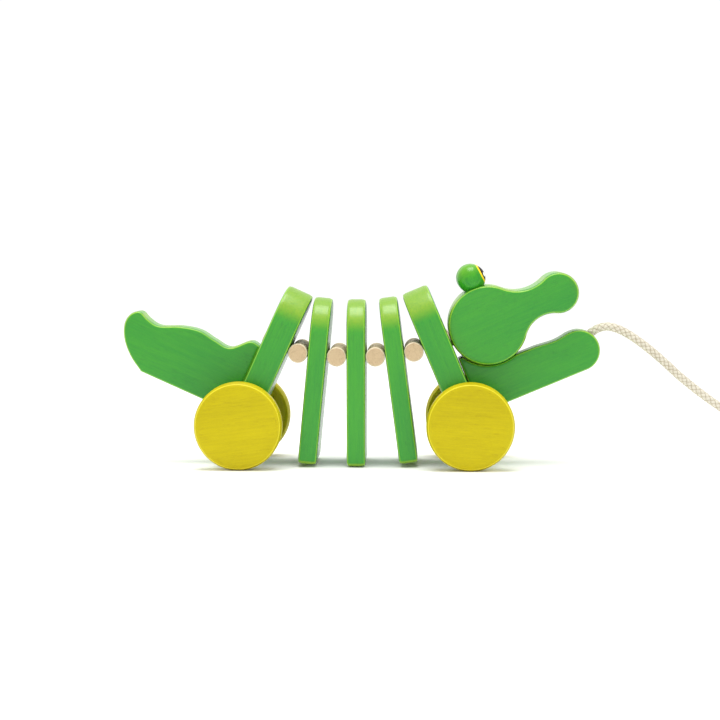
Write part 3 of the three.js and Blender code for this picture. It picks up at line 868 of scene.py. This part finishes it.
def eye_finish(name):
    f = Finish(name)
    look = f.attribute("look")
    gaze = Vector((math.cos(math.radians(GAZE_LIFT)), 0, math.sin(math.radians(GAZE_LIFT))))
    dot_lift = math.radians(GAZE_LIFT - DOT_DROP)
    dot_way = Vector((math.cos(dot_lift), -DOT_ASIDE, math.sin(dot_lift))).normalized()
    facing = f.node("VectorMath", {"operation": "DOT_PRODUCT"}, {0: look, 1: gaze}, out="Value")
    dot_and_glint_facing = f.node("VectorMath", {"operation": "DOT_PRODUCT"}, {0: look, 1: dot_way}, out="Value")
    painted_top_light = f.node("VectorMath", {"operation": "DOT_PRODUCT"}, {0: look, 1: (0, 0, 1)}, out="Value")
    wobble = (f.noise(look, (5.0, 5.0, 5.0), 2.0) - 0.5) * BRUSH_WOBBLE
    brushed = f.noise(look, (2.0, 9.0, 2.0), 3.0)

    def inside(wire, degrees):
        limit = math.cos(math.radians(degrees))
        return f.fade(wire + wobble, limit - PAINT_EDGE, limit + PAINT_EDGE)

    colour = f.mix(f.fade(brushed, 0.3, 0.7), tint("36981c"), tint("238420"))
    # the upper side of the bead is painted a lighter yellow-green: painted top light
    colour = f.mix(f.fade(painted_top_light, -0.1, 1.0, 0.0, 0.75), colour, tint("62a010"))
    colour = f.mix(inside(facing, RING_OUTER), colour, tint("f0cf22"))
    colour = f.mix(inside(facing, RING_INNER), colour, tint("0a0a0c"))
    # a white dot on the pupil, turned toward the toy's right on both eyes: print and a painted glint at
    # once
    colour = f.mix(inside(dot_and_glint_facing, DOT_SIZE), colour, tint("f4f4f0"))
    roughness = (brushed - 0.5) * 0.1 + 0.35
    normal = f.bump(brushed, 0.1, 0.0002)
    f.feed(f.shader.inputs["Coat Weight"], inside(facing, RING_OUTER) * -0.45 + 0.5)
    return f.finish(colour, roughness, normal, {
        "Coat Roughness": 0.25, "IOR": 1.4, "Specular IOR Level": 0.1})


eye_paint = eye_finish("eye paint")

# %% [markdown]
# ## The plates
#
# All five plates share one outline, a tall arch on a square foot.  The three in the
# body are thinner.  The grain stands upright in them, so their arched tops are end
# grain.  Every plate is drilled twice for the body cords.  The end plates also have
# wider mouths for the plugs, a hole for the axle, and sockets for the pegs that hold
# the head, the jaw and the tail.

# %% Outline of a plate
PLATE_CORNER = 3.0
CORD_Y = 14.0
PLATE_HOLE_R = 2.1
PLUG_R = 3.0
PLUG_LENGTH = 6.0
BORE_GAP = 0.35
AXLE_R = 4.0
AXLE_HOLE_R = AXLE_R + 0.5
BELLY_DROP = 58.3
ROOT_PEG_R = 3.0
ROOT_PEG_REACH = 12.0
TAIL_PEG_HEIGHTS = (14.0, 36.0)
JAW_PEG_HEIGHTS = (11.0, 25.0)
NECK_PEG_R = 5.0
NECK_PEG_REACH = 13.0
HEAD_DROP = 3.0
half_width = PLATE_WIDTH / 2


def spaced(outline, step=4.0):
    """Adds points along an outline's long straight sides."""
    points = []
    for a, b in zip(outline, outline[1:] + outline[:1]):
        parts = max(1, round(math.dist(a, b) / step))
        for i in range(parts):
            points.append((a[0] + (b[0] - a[0]) * i / parts, a[1] + (b[1] - a[1]) * i / parts))
    return points


def arch():
    side = half_width - PLATE_CORNER
    foot = PLATE_CORNER - PLATE_FOOT
    return spaced([
        *arc(side, foot, PLATE_CORNER, -90, 0, 12),
        *arc(0, PLATE_TOP - half_width, half_width, 0, 180, 3),
        *arc(-side, foot, PLATE_CORNER, 180, 270, 12),
    ])


def end_socket(piece, outward, y, z, r, reach):
    """A blind hole in the outward face of an end plate."""
    face = outward * END_THICK / 2
    deep = face - outward * (reach + GLUE_GAP)
    drill(piece, (deep, y, z), (face + outward * OVERSHOOT, y, z), r + BORE_GAP)


print("the arch has", len(arch()), "points")

# %% [markdown]
# The plates are made one by one in a loop, from the rear to the front.  What an end
# plate has and a body plate has not is drilled only where the loop is at that end.

# %% Make the plates
NODES = ["rear_plate", "body_plate_1", "body_plate_2", "body_plate_3", "front_plate"]
for i, node in enumerate(NODES):
    thick = BODY_THICK if 0 < i < 4 else END_THICK
    plate = board(node + "_board", arch(), thick, plate_stations[i], True)
    for y in (-CORD_Y, CORD_Y):
        drill(plate, (-thick, y, 0), (thick, y, 0), PLATE_HOLE_R)
    if i in (0, 4):
        outward = 1 if i == 4 else -1
        for y in (-CORD_Y, CORD_Y):
            end_socket(plate, outward, y, 0, PLUG_R, PLUG_LENGTH)
        drill(plate, (0, -PLATE_WIDTH, -AXLE_DROP), (0, PLATE_WIDTH, -AXLE_DROP), AXLE_HOLE_R)
    if i == 0:
        for height in TAIL_PEG_HEIGHTS:
            end_socket(plate, -1, 0, height - BELLY_DROP, ROOT_PEG_R, ROOT_PEG_REACH)
    if i == 4:
        for height in JAW_PEG_HEIGHTS:
            end_socket(plate, 1, 0, height - BELLY_DROP, ROOT_PEG_R, ROOT_PEG_REACH)
        end_socket(plate, 1, 0, -HEAD_DROP, NECK_PEG_R, NECK_PEG_REACH)
    finish_wood(plate, PLATE_BODIES[i], 2, green_wood, "green_wood", node)
    print(plate.name, len(plate.data.vertices), "points")

# %% [markdown]
# ## The dowels
#
# Each dowel lies across the toy between two plates and lets them rock on it.  It is cut
# from round stock with the grain along it, so its sawn ends show the pores as specks.
# The two holes through it are wide, to let the cords bend inside.

# %% Make the dowels
DOWEL_LENGTH = 48.0
DOWEL_ROUND = 0.8
DOWEL_HOLE_R = 2.9

for i, place in enumerate(dowel_stations):
    half = DOWEL_LENGTH / 2
    corners = [(0, -half, 0), (DOWEL_R, -half, DOWEL_ROUND), (DOWEL_R, half, DOWEL_ROUND), (0, half, 0)]
    dowel = turned(f"dowel_{i + 1}_round", corners, place)
    for y in (-CORD_Y, CORD_Y):
        drill(dowel, (-2 * DOWEL_R, y, 0), (2 * DOWEL_R, y, 0), DOWEL_HOLE_R)
    finish_wood(dowel, f"dowel_{i + 1}_body", 1, bare_wood, "bare_wood", f"dowel_{i + 1}")
print("four dowels of", DOWEL_LENGTH, "mm")

# %% [markdown]
# ## Wheels, washers and axles
#
# A wheel is a thick disc turned from a board, so its grain runs straight across its
# face, and the rim changes from long grain to end grain twice on the way round.  It is
# bored from the inside only and glued to the axle.  A wooden washer keeps it from
# rubbing on the plate.

# %% Make the wheel sets
WHEEL_R = 30.0
WHEEL_THICK = 15.0
WHEEL_ROUND = 2.0
WHEEL_SKIN = 5.0
WHEEL_OFFSET = 4.0
WASHER_R = 8.0
WASHER_THICK = 3.0
FACE_RING_R = 0.6 * WHEEL_R  # splits the long thin triangles of the outer face
WASHER_ROUND = 0.6
WASHER_BORE_ROUND = 0.3
AXLE_ROUND = 0.6
GRAIN_ANGLES = {"front_left": 12, "front_right": 4, "rear_left": -20, "rear_right": -7}
wheel_inner = half_width + WHEEL_OFFSET
wheel_outer = wheel_inner + WHEEL_THICK


def wheel_corners(side):
    bore = AXLE_R + BORE_GAP
    deep = wheel_outer - WHEEL_SKIN
    corners = [(0, deep, 0), (bore, deep, 0), (bore, wheel_inner, 0), (WHEEL_R, wheel_inner, WHEEL_ROUND),
               (WHEEL_R, wheel_outer, WHEEL_ROUND), (FACE_RING_R, wheel_outer, 0), (0, wheel_outer, 0)]
    return [(r, side * y, fillet) for r, y, fillet in corners]


def washer_corners(side):
    low = half_width + (WHEEL_OFFSET - WASHER_THICK) / 2
    high = low + WASHER_THICK
    bore = AXLE_R + BORE_GAP
    corners = [(bore, low, WASHER_BORE_ROUND), (WASHER_R, low, WASHER_ROUND),
               (WASHER_R, high, WASHER_ROUND), (bore, high, WASHER_BORE_ROUND)]
    return [(r, side * y, fillet) for r, y, fillet in corners]


for end, seat in (("front", front_station), ("rear", rear_station)):
    hub = seat @ Matrix.Translation((0, 0, -AXLE_DROP * MM))
    body = end + "_wheels"
    reach = wheel_outer - WHEEL_SKIN - GLUE_GAP
    corners = [(0, -reach, 0), (AXLE_R, -reach, AXLE_ROUND), (AXLE_R, reach, AXLE_ROUND), (0, reach, 0)]
    axle = turned(end + "_axle_rod", corners, hub, 48)
    finish_wood(axle, body, 1, bare_wood, "bare_wood", end + "_axle")
    for side, sign in (("left", 1), ("right", -1)):
        spin = Matrix.Rotation(math.radians(GRAIN_ANGLES[f"{end}_{side}"]), 4, "Y")
        level = Matrix.Translation(hub.translation) @ spin
        wheel = turned(f"{end}_wheel_{side}_disc", wheel_corners(sign), level, 128, steps=8)
        finish_wood(wheel, body, 0, yellow_wood, "yellow_wood", f"{end}_wheel_{side}")
        washer = turned(f"{end}_washer_{side}_ring", washer_corners(sign), hub, 64, "loop", 3)
        finish_wood(washer, body, 0, bare_wood, "bare_wood", f"{end}_washer_{side}")
print("two axles, four wheels and four washers")

# %% [markdown]
# ## The tail
#
# The tail is one board that curls down from the plate, thins, and ends in a blunt
# up-turned tip.  It was fretted by hand on a bandsaw, so its upper edge is one free
# curve through a few points, and its belly is a straight line.

# %% Make the tail
BOARD_THICK = 20.0
# how much of the lighter edge tone the narrow edge of the tail, head and jaw takes: sanding, and a
# painted sheen on their pale upper edges
SANDED_EDGE_AND_SHEEN = 0.6
TAIL_TOP = [
    (0, 50.6), (8, 50.8), (19, 41), (31, 41.6), (43, 43.2), (56, 40.4), (70, 34.6),
    (79, 35.6), (86, 38.2), (91.5, 34), (92.8, 26), (88.5, 16), (80, 7), (69, 0),
]
tail_root = -END_THICK / 2 - GLUE_GAP
upper = even(smooth([(tail_root - back, up - BELLY_DROP) for back, up in TAIL_TOP]), 1.6)
tail_outline = spaced([*map(tuple, upper), (tail_root, -BELLY_DROP)])
tail = board("tail_board", tail_outline, BOARD_THICK, rear_station, False, sanded_and_sheen=SANDED_EDGE_AND_SHEEN)
for height in TAIL_PEG_HEIGHTS:
    drill(tail, (tail_root + OVERSHOOT, 0, height - BELLY_DROP),
          (tail_root - ROOT_PEG_REACH - GLUE_GAP, 0, height - BELLY_DROP), ROOT_PEG_R + BORE_GAP)
finish_wood(tail, "rear_end", 0, green_wood, "green_wood", "tail")
print("tail outline has", len(tail_outline), "points")

# %% [markdown]
# ## The head
#
# The head is a thick disc with a round snout.  The hollows between the two are arcs
# that touch both circles, so their centres come from a triangle: each lies one hollow
# radius outside both circles.  The head is glued to a peg in the front plate, and each
# eye sits in a shallow dimple on top.

# %% Outline of the head
HEAD_WIDTH = 40.0
HEAD_R = 27.3
HEAD_GAP = 0.6
SNOUT_R = 14.0
SNOUT_REACH = 52.9
SNOUT_RISE = 2.0
SNOUT_FILLET_TOP = 26.0
SNOUT_FILLET_BOTTOM = 20.0
HEAD_EDGE = 1.6
head_x = END_THICK / 2 + HEAD_GAP + HEAD_R
head_z = -HEAD_DROP
snout_x = head_x + SNOUT_REACH
snout_z = head_z + SNOUT_RISE


def heading(x, z, to_x, to_z):
    return math.degrees(math.atan2(to_z - z, to_x - x))


def hollow(side, r):
    """The arc of radius r that touches the head and the snout above (1) or below (-1)."""
    span = math.hypot(SNOUT_REACH, SNOUT_RISE)
    to_head = HEAD_R + r
    to_snout = SNOUT_R + r
    reach = (to_head**2 - to_snout**2 + span**2) / (2 * span)
    rise = side * math.sqrt(to_head**2 - reach**2)
    lean = math.atan2(SNOUT_RISE, SNOUT_REACH)
    x = head_x + reach * math.cos(lean) - rise * math.sin(lean)
    z = head_z + reach * math.sin(lean) + rise * math.cos(lean)
    return x, z, heading(x, z, head_x, head_z), heading(x, z, snout_x, snout_z)


def head_outline():
    over_x, over_z, over_head, over_snout = hollow(1, SNOUT_FILLET_TOP)
    under_x, under_z, under_head, under_snout = hollow(-1, SNOUT_FILLET_BOTTOM)
    return [
        *arc(snout_x, snout_z, SNOUT_R, under_snout - 180, over_snout + 180),
        *arc(over_x, over_z, SNOUT_FILLET_TOP, over_snout, over_head)[1:],
        *arc(head_x, head_z, HEAD_R, over_head + 180, under_head + 180, 3)[1:],
        *arc(under_x, under_z, SNOUT_FILLET_BOTTOM, under_head, under_snout)[1:-1],
    ]


print("head outline has", len(head_outline()), "points")

# %% [markdown]
# The head's block is drilled for the neck peg, and under each eye it gets a shallow
# dimple and a hole for the eye's peg.  The ball that cuts a dimple is made by the same
# function as the eye that sits in it, only a glue line larger.

# %% Make the head and its holes
EYE_R = 9.9
EYE_Y = 10.2
EYE_SINK = 3.4
EYE_LEAN = 2.8
EYE_PEG_R = 2.5
EYE_PEG_REACH = 7.0
eye_reach = HEAD_R + EYE_R - EYE_SINK
eye_up = Vector((math.sin(math.radians(EYE_LEAN)), 0, math.cos(math.radians(EYE_LEAN))))


def eye_line(y, distance):
    """A point on the line from the head's middle through an eye."""
    return Vector((head_x, y, head_z)) + eye_up * distance


def ball(name, y, r, place, sides=64, layers=40):
    """A bead round an eye's middle, made of rings about the Y axis."""
    middle = eye_line(y, eye_reach)
    rings = []
    for i in range(1, layers):
        angle = math.pi * i / layers
        level = y - r * math.cos(angle)
        rings.append(ring(r * math.sin(angle), level, sides, (middle.x, middle.z)))
    piece = skin(name, rings)
    count = len(piece.data.vertices)
    piece.data.vertices[count - 2].co.y = (y - r) * MM
    piece.data.vertices[count - 1].co.y = (y + r) * MM
    piece.matrix_world = place
    return piece


head = board("head_block", head_outline(), HEAD_WIDTH, front_station, False, HEAD_EDGE, SANDED_EDGE_AND_SHEEN)
neck_start = head_x - HEAD_R
drill(head, (neck_start - OVERSHOOT, 0, head_z), (neck_start + NECK_PEG_REACH + GLUE_GAP, 0, head_z),
      NECK_PEG_R + BORE_GAP)
for y in (-EYE_Y, EYE_Y):
    carve(head, ball("dimple", y, EYE_R + GLUE_GAP, front_station))
    drill(head, eye_line(y, HEAD_R - EYE_PEG_REACH - GLUE_GAP), eye_line(y, HEAD_R + EYE_R),
          EYE_PEG_R + BORE_GAP)
finish_wood(head, "front_end", 0, green_wood, "green_wood", "head")
print("head has", len(head.data.vertices), "points")

# %% [markdown]
# Each eye keeps the way that every point looks out from the bead's middle, which is what
# its paint reads.  The directions are taken in the head's own drawing, so the paint
# stays where it is on the bead whichever way the head leans.

# %% Make the eyes
for side, sign in (("left", 1), ("right", -1)):
    middle = eye_line(sign * EYE_Y, eye_reach)
    eye = ball(f"eye_{side}_bead", sign * EYE_Y, EYE_R, front_station)
    drill(eye, eye_line(sign * EYE_Y, eye_reach - EYE_R - OVERSHOOT),
          eye_line(sign * EYE_Y, eye_reach - EYE_R + EYE_PEG_REACH + GLUE_GAP), EYE_PEG_R + BORE_GAP)
    points = np.empty(len(eye.data.vertices) * 3)
    eye.data.vertices.foreach_get("co", points)
    away = points.reshape(-1, 3) / MM - np.array(middle)
    away /= np.linalg.norm(away, axis=1)[:, None]
    eye.data.attributes.new("look", "FLOAT_VECTOR", "POINT").data.foreach_set("vector", away.ravel())
    finish_wood(eye, "front_end", 0, eye_paint, "eye_paint", f"eye_{side}")
print("two eyes of", 2 * EYE_R, "mm")

# %% [markdown]
# ## The lower jaw
#
# The jaw is a straight board with a round tip.  Its back is scooped out to cradle the
# head's disc, its upper edge dips slightly behind the tip, and a hole slants into the
# tip for the pull cord, which is glued inside.

# %% Make the lower jaw
JAW_HEIGHT = 28.7
JAW_LENGTH = 93.5
JAW_ROOT_HEIGHT = 41.3
CRADLE_GAP = 0.7
# The upper edge dips between the tip and the cradle: share of the way, depth.
JAW_DIP = [(0.09, 0.1), (0.21, 1), (0.33, 1.3), (0.47, 0.8), (0.63, 0.1)]
JAW_CORD_ANGLE = math.radians(10)
JAW_CORD_PLACE = math.radians(32.4)
JAW_CORD_DEPTH = 22.0
CORD_HOLE_R = 3.45
jaw_root = END_THICK / 2 + GLUE_GAP
tip_r = JAW_HEIGHT / 2
tip_x = jaw_root + JAW_LENGTH - tip_r
tip_z = tip_r - BELLY_DROP
lip = JAW_HEIGHT - BELLY_DROP
shoulder = JAW_ROOT_HEIGHT - BELLY_DROP
cradle = HEAD_R + CRADLE_GAP
lip_angle = math.degrees(math.asin((lip - head_z) / cradle))
shoulder_angle = -180 - math.degrees(math.asin((shoulder - head_z) / cradle))
edge_back = tip_x - head_x - cradle * math.cos(math.radians(lip_angle))
dip_points = [(tip_x - share * edge_back, lip - depth) for share, depth in JAW_DIP]
dip = even(smooth([(tip_x, lip), *dip_points]), 2.0)[1:]
jaw_outline = spaced([
    (jaw_root, -BELLY_DROP),
    *arc(tip_x, tip_z, tip_r, -90, 90),
    *map(tuple, dip),
    *arc(head_x, head_z, cradle, lip_angle, shoulder_angle),
    (jaw_root, shoulder),
])


def cord_hole(distance):
    """A point on the hole's line, at a distance outside the tip."""
    return (tip_x + tip_r * math.cos(JAW_CORD_PLACE) + distance * math.cos(JAW_CORD_ANGLE), 0,
            tip_z + tip_r * math.sin(JAW_CORD_PLACE) + distance * math.sin(JAW_CORD_ANGLE))


jaw = board("lower_jaw_board", jaw_outline, BOARD_THICK, front_station, False, sanded_and_sheen=SANDED_EDGE_AND_SHEEN)
for height in JAW_PEG_HEIGHTS:
    drill(jaw, (jaw_root - OVERSHOOT, 0, height - BELLY_DROP),
          (jaw_root + ROOT_PEG_REACH + GLUE_GAP, 0, height - BELLY_DROP), ROOT_PEG_R + BORE_GAP)
drill(jaw, cord_hole(-JAW_CORD_DEPTH), cord_hole(2 * CORD_R), CORD_HOLE_R)
finish_wood(jaw, "front_end", 0, green_wood, "green_wood", "lower_jaw")
print("jaw outline has", len(jaw_outline), "points")

# %% [markdown]
# ## Pegs and plugs
#
# The joints that never move are made with short glued pegs, with chamfered ends and
# shallow flutes that let the glue escape.  They are hidden once the toy is together,
# apart from a glimpse of the neck peg.  Plain plugs close the mouths where the body
# cords end, and stand flush with the plates.

# %% Make the pegs and plugs
FLUTES = 12
FLUTE_DEPTH = 0.25
POINTS_PER_FLUTE = 8
PEG_CHAMFER = 0.15  # as a share of the radius
PEG_RUBBED = [0.6, 0.2, 0.2, 0.6]
PLUG_ROUND = 0.3


def fluted_peg(name, start, end, r, body, node, place):
    """A peg between two points of a drawing, with flutes along it."""
    half = (Vector(end) - Vector(start)).length / 2
    chamfer = PEG_CHAMFER * r
    sides = FLUTES * POINTS_PER_FLUTE
    angles = np.arange(sides) * 2 * np.pi / sides
    grooves = FLUTE_DEPTH * np.clip(np.cos(angles * FLUTES), 0, 1)
    rings = []
    for y, drawn_in, share in ((-half, chamfer, 0), (-half + chamfer, 0, 1), (half - chamfer, 0, 1),
                               (half, chamfer, 0)):
        rings.append(ring(r - drawn_in - grooves * share, y, sides))
    peg = skin(name, rings, "flat", PEG_RUBBED)
    peg.matrix_world = place @ aimed(start, end)
    finish_wood(peg, body, 1, bare_wood, "bare_wood", node)


neck_deep = END_THICK / 2 - NECK_PEG_REACH
fluted_peg("neck_peg_fluted", (neck_deep, 0, head_z), (neck_start + NECK_PEG_REACH, 0, head_z),
           NECK_PEG_R, "front_end", "neck_peg", front_station)
for body, outward, word, place, heights in (("rear_end", -1, "tail", rear_station, TAIL_PEG_HEIGHTS),
                                            ("front_end", 1, "jaw", front_station, JAW_PEG_HEIGHTS)):
    joint = outward * (END_THICK / 2 + GLUE_GAP / 2)
    for i, height in enumerate(heights):
        level = height - BELLY_DROP
        fluted_peg(f"{word}_peg_{i + 1}_fluted", (joint - ROOT_PEG_REACH, 0, level),
                   (joint + ROOT_PEG_REACH, 0, level), ROOT_PEG_R, body, f"{word}_peg_{i + 1}", place)
for side, sign in (("left", 1), ("right", -1)):
    y = sign * EYE_Y
    fluted_peg(f"eye_peg_{side}_fluted", eye_line(y, HEAD_R - EYE_PEG_REACH),
               eye_line(y, eye_reach - EYE_R + EYE_PEG_REACH), EYE_PEG_R, "front_end", f"eye_peg_{side}",
               front_station)
    for body, outward, word, place in (("rear_end", -1, "rear", rear_station),
                                       ("front_end", 1, "front", front_station)):
        half = PLUG_LENGTH / 2
        middle = outward * (END_THICK / 2 - half)
        seat = place @ aimed((middle - half, sign * CORD_Y, 0), (middle + half, sign * CORD_Y, 0))
        corners = [(0, -half, 0), (PLUG_R, -half, PLUG_ROUND), (PLUG_R, half, PLUG_ROUND), (0, half, 0)]
        plug = turned(f"{word}_plug_{side}_pin", corners, seat, 48)
        finish_wood(plug, body, 1, bare_wood, "bare_wood", f"{word}_plug_{side}")
print("seven fluted pegs and four plugs")

# %% [markdown]
# ## The body cords
#
# Two thin cords string the plates and dowels together like beads.  Inside a plate a
# cord is held straight, and inside a dowel it bends, so each cord is made here in four
# lengths that meet in the middle of the plates.  Each length is drawn through the plate
# before its dowel at one end and the plate after it at the other, and bends smoothly between.

# %% Make the body cords
BODY_CORD_R = 1.5
BODY_CORD_YARNS = 4
BODY_CORD_PITCH = 2.4
BODY_CORD_GROOVE = 0.22
BODY_RING_STEP = 0.5
gap_bodies = list(zip(PLATE_BODIES[1:], PLATE_BODIES))
cord_ends = END_THICK / 2 - PLUG_LENGTH - 2 * GLUE_GAP


def in_row(place, x, y):
    """A point on the line of the cords in a plate, in millimetres in the row's frame."""
    return (place @ Vector((x * MM, y * MM, 0))) / MM


for side, sign in (("left", 1), ("right", -1)):
    y = sign * CORD_Y
    for i, (ahead, behind) in enumerate(gap_bodies):
        back = plate_stations[i]
        on = plate_stations[i + 1]
        back_half = (END_THICK if i == 0 else BODY_THICK) / 2
        on_half = (END_THICK if i == 3 else BODY_THICK) / 2
        start = in_row(back, -cord_ends if i == 0 else 0, y)
        leave = in_row(back, back_half, y)
        enter = in_row(on, -on_half, y)
        stop = in_row(on, cord_ends if i == 3 else 0, y)
        bend = dowel_place[i] + Vector((0, y, 0))
        route = [start, (start + leave) / 2, leave, bend, enter, (enter + stop) / 2, stop]
        line = even(smooth(route), BODY_RING_STEP)
        cord = braided(f"body_cord_{side}_{i + 1}", line, BODY_CORD_R, BODY_CORD_GROOVE, BODY_CORD_YARNS,
                       BODY_CORD_PITCH, sides=24)
        cord.data.materials.append(cotton)
        tuple(enter * MM)
        tuple(leave * MM)
        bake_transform(cord)
        if i == 1:  # the plain cord is one solid, so one length stands for all four
            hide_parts(f"body_cord_{side}")
print("two body cords in four lengths each")

# %% [markdown]
# ## The floor and the light
#
# The toy stands on a plain white floor under a large soft lamp, high above and a touch
# in front of it.  A weaker lamp low in front lifts the shadows, as a white card
# does in a studio, and the pale room does the rest.  A small hard lamp would draw dark
# shadows and burn out the lacquer, and the soft one instead leaves a long pale sheen on
# each arch.

# %% Floor, lamps and room
FLOOR_HALF = 3.0
floor_mesh = bpy.data.meshes.new("floor")
floor_signs = [(-1, -1), (1, -1), (1, 1), (-1, 1)]
floor_corners = [(x * FLOOR_HALF, y * FLOOR_HALF, 0) for x, y in floor_signs]
floor_mesh.from_pydata(floor_corners, [], [(0, 1, 2, 3)])
floor = bpy.data.objects.new("floor", floor_mesh)
scene.collection.objects.link(floor)
paper = Finish("white paper floor")
paper_place = paper.node("TexCoord", None, None, out="Object")
paper_tone = paper.noise(paper_place, (3.0, 3.0, 3.0), 2.0)
floor_mesh.materials.append(paper.finish(
    paper.mix(paper_tone, tint("ffffff"), tint("fcfcfb")), 0.8, paper.bump(paper_tone, 0.05, 0.001)))


def lamp(name, place, aim, wide, power):
    light = bpy.data.lights.new(name, "AREA")
    light.shape = "SQUARE"
    light.size = wide
    light.energy = power
    holder = bpy.data.objects.new(name, light)
    holder.location = place
    holder.rotation_euler = (Vector(aim) - Vector(place)).to_track_quat("-Z", "Y").to_euler()
    scene.collection.objects.link(holder)


lamp("soft box above", (0.0, -0.06, 1.15), (0.0, 0.0, 0.05), 0.6, 10.0)
lamp("low front card", (0.1, -1.6, 0.3), (0.0, 0.0, 0.05), 0.8, 0.8)
world = bpy.data.worlds.new("pale room")
world.use_nodes = True
sky = world.node_tree.nodes["Background"]
sky.inputs["Color"].default_value = (1.0, 1.0, 1.0, 1.0)
sky.inputs["Strength"].default_value = 1.05
scene.world = world
scene.view_settings.view_transform = "Standard"
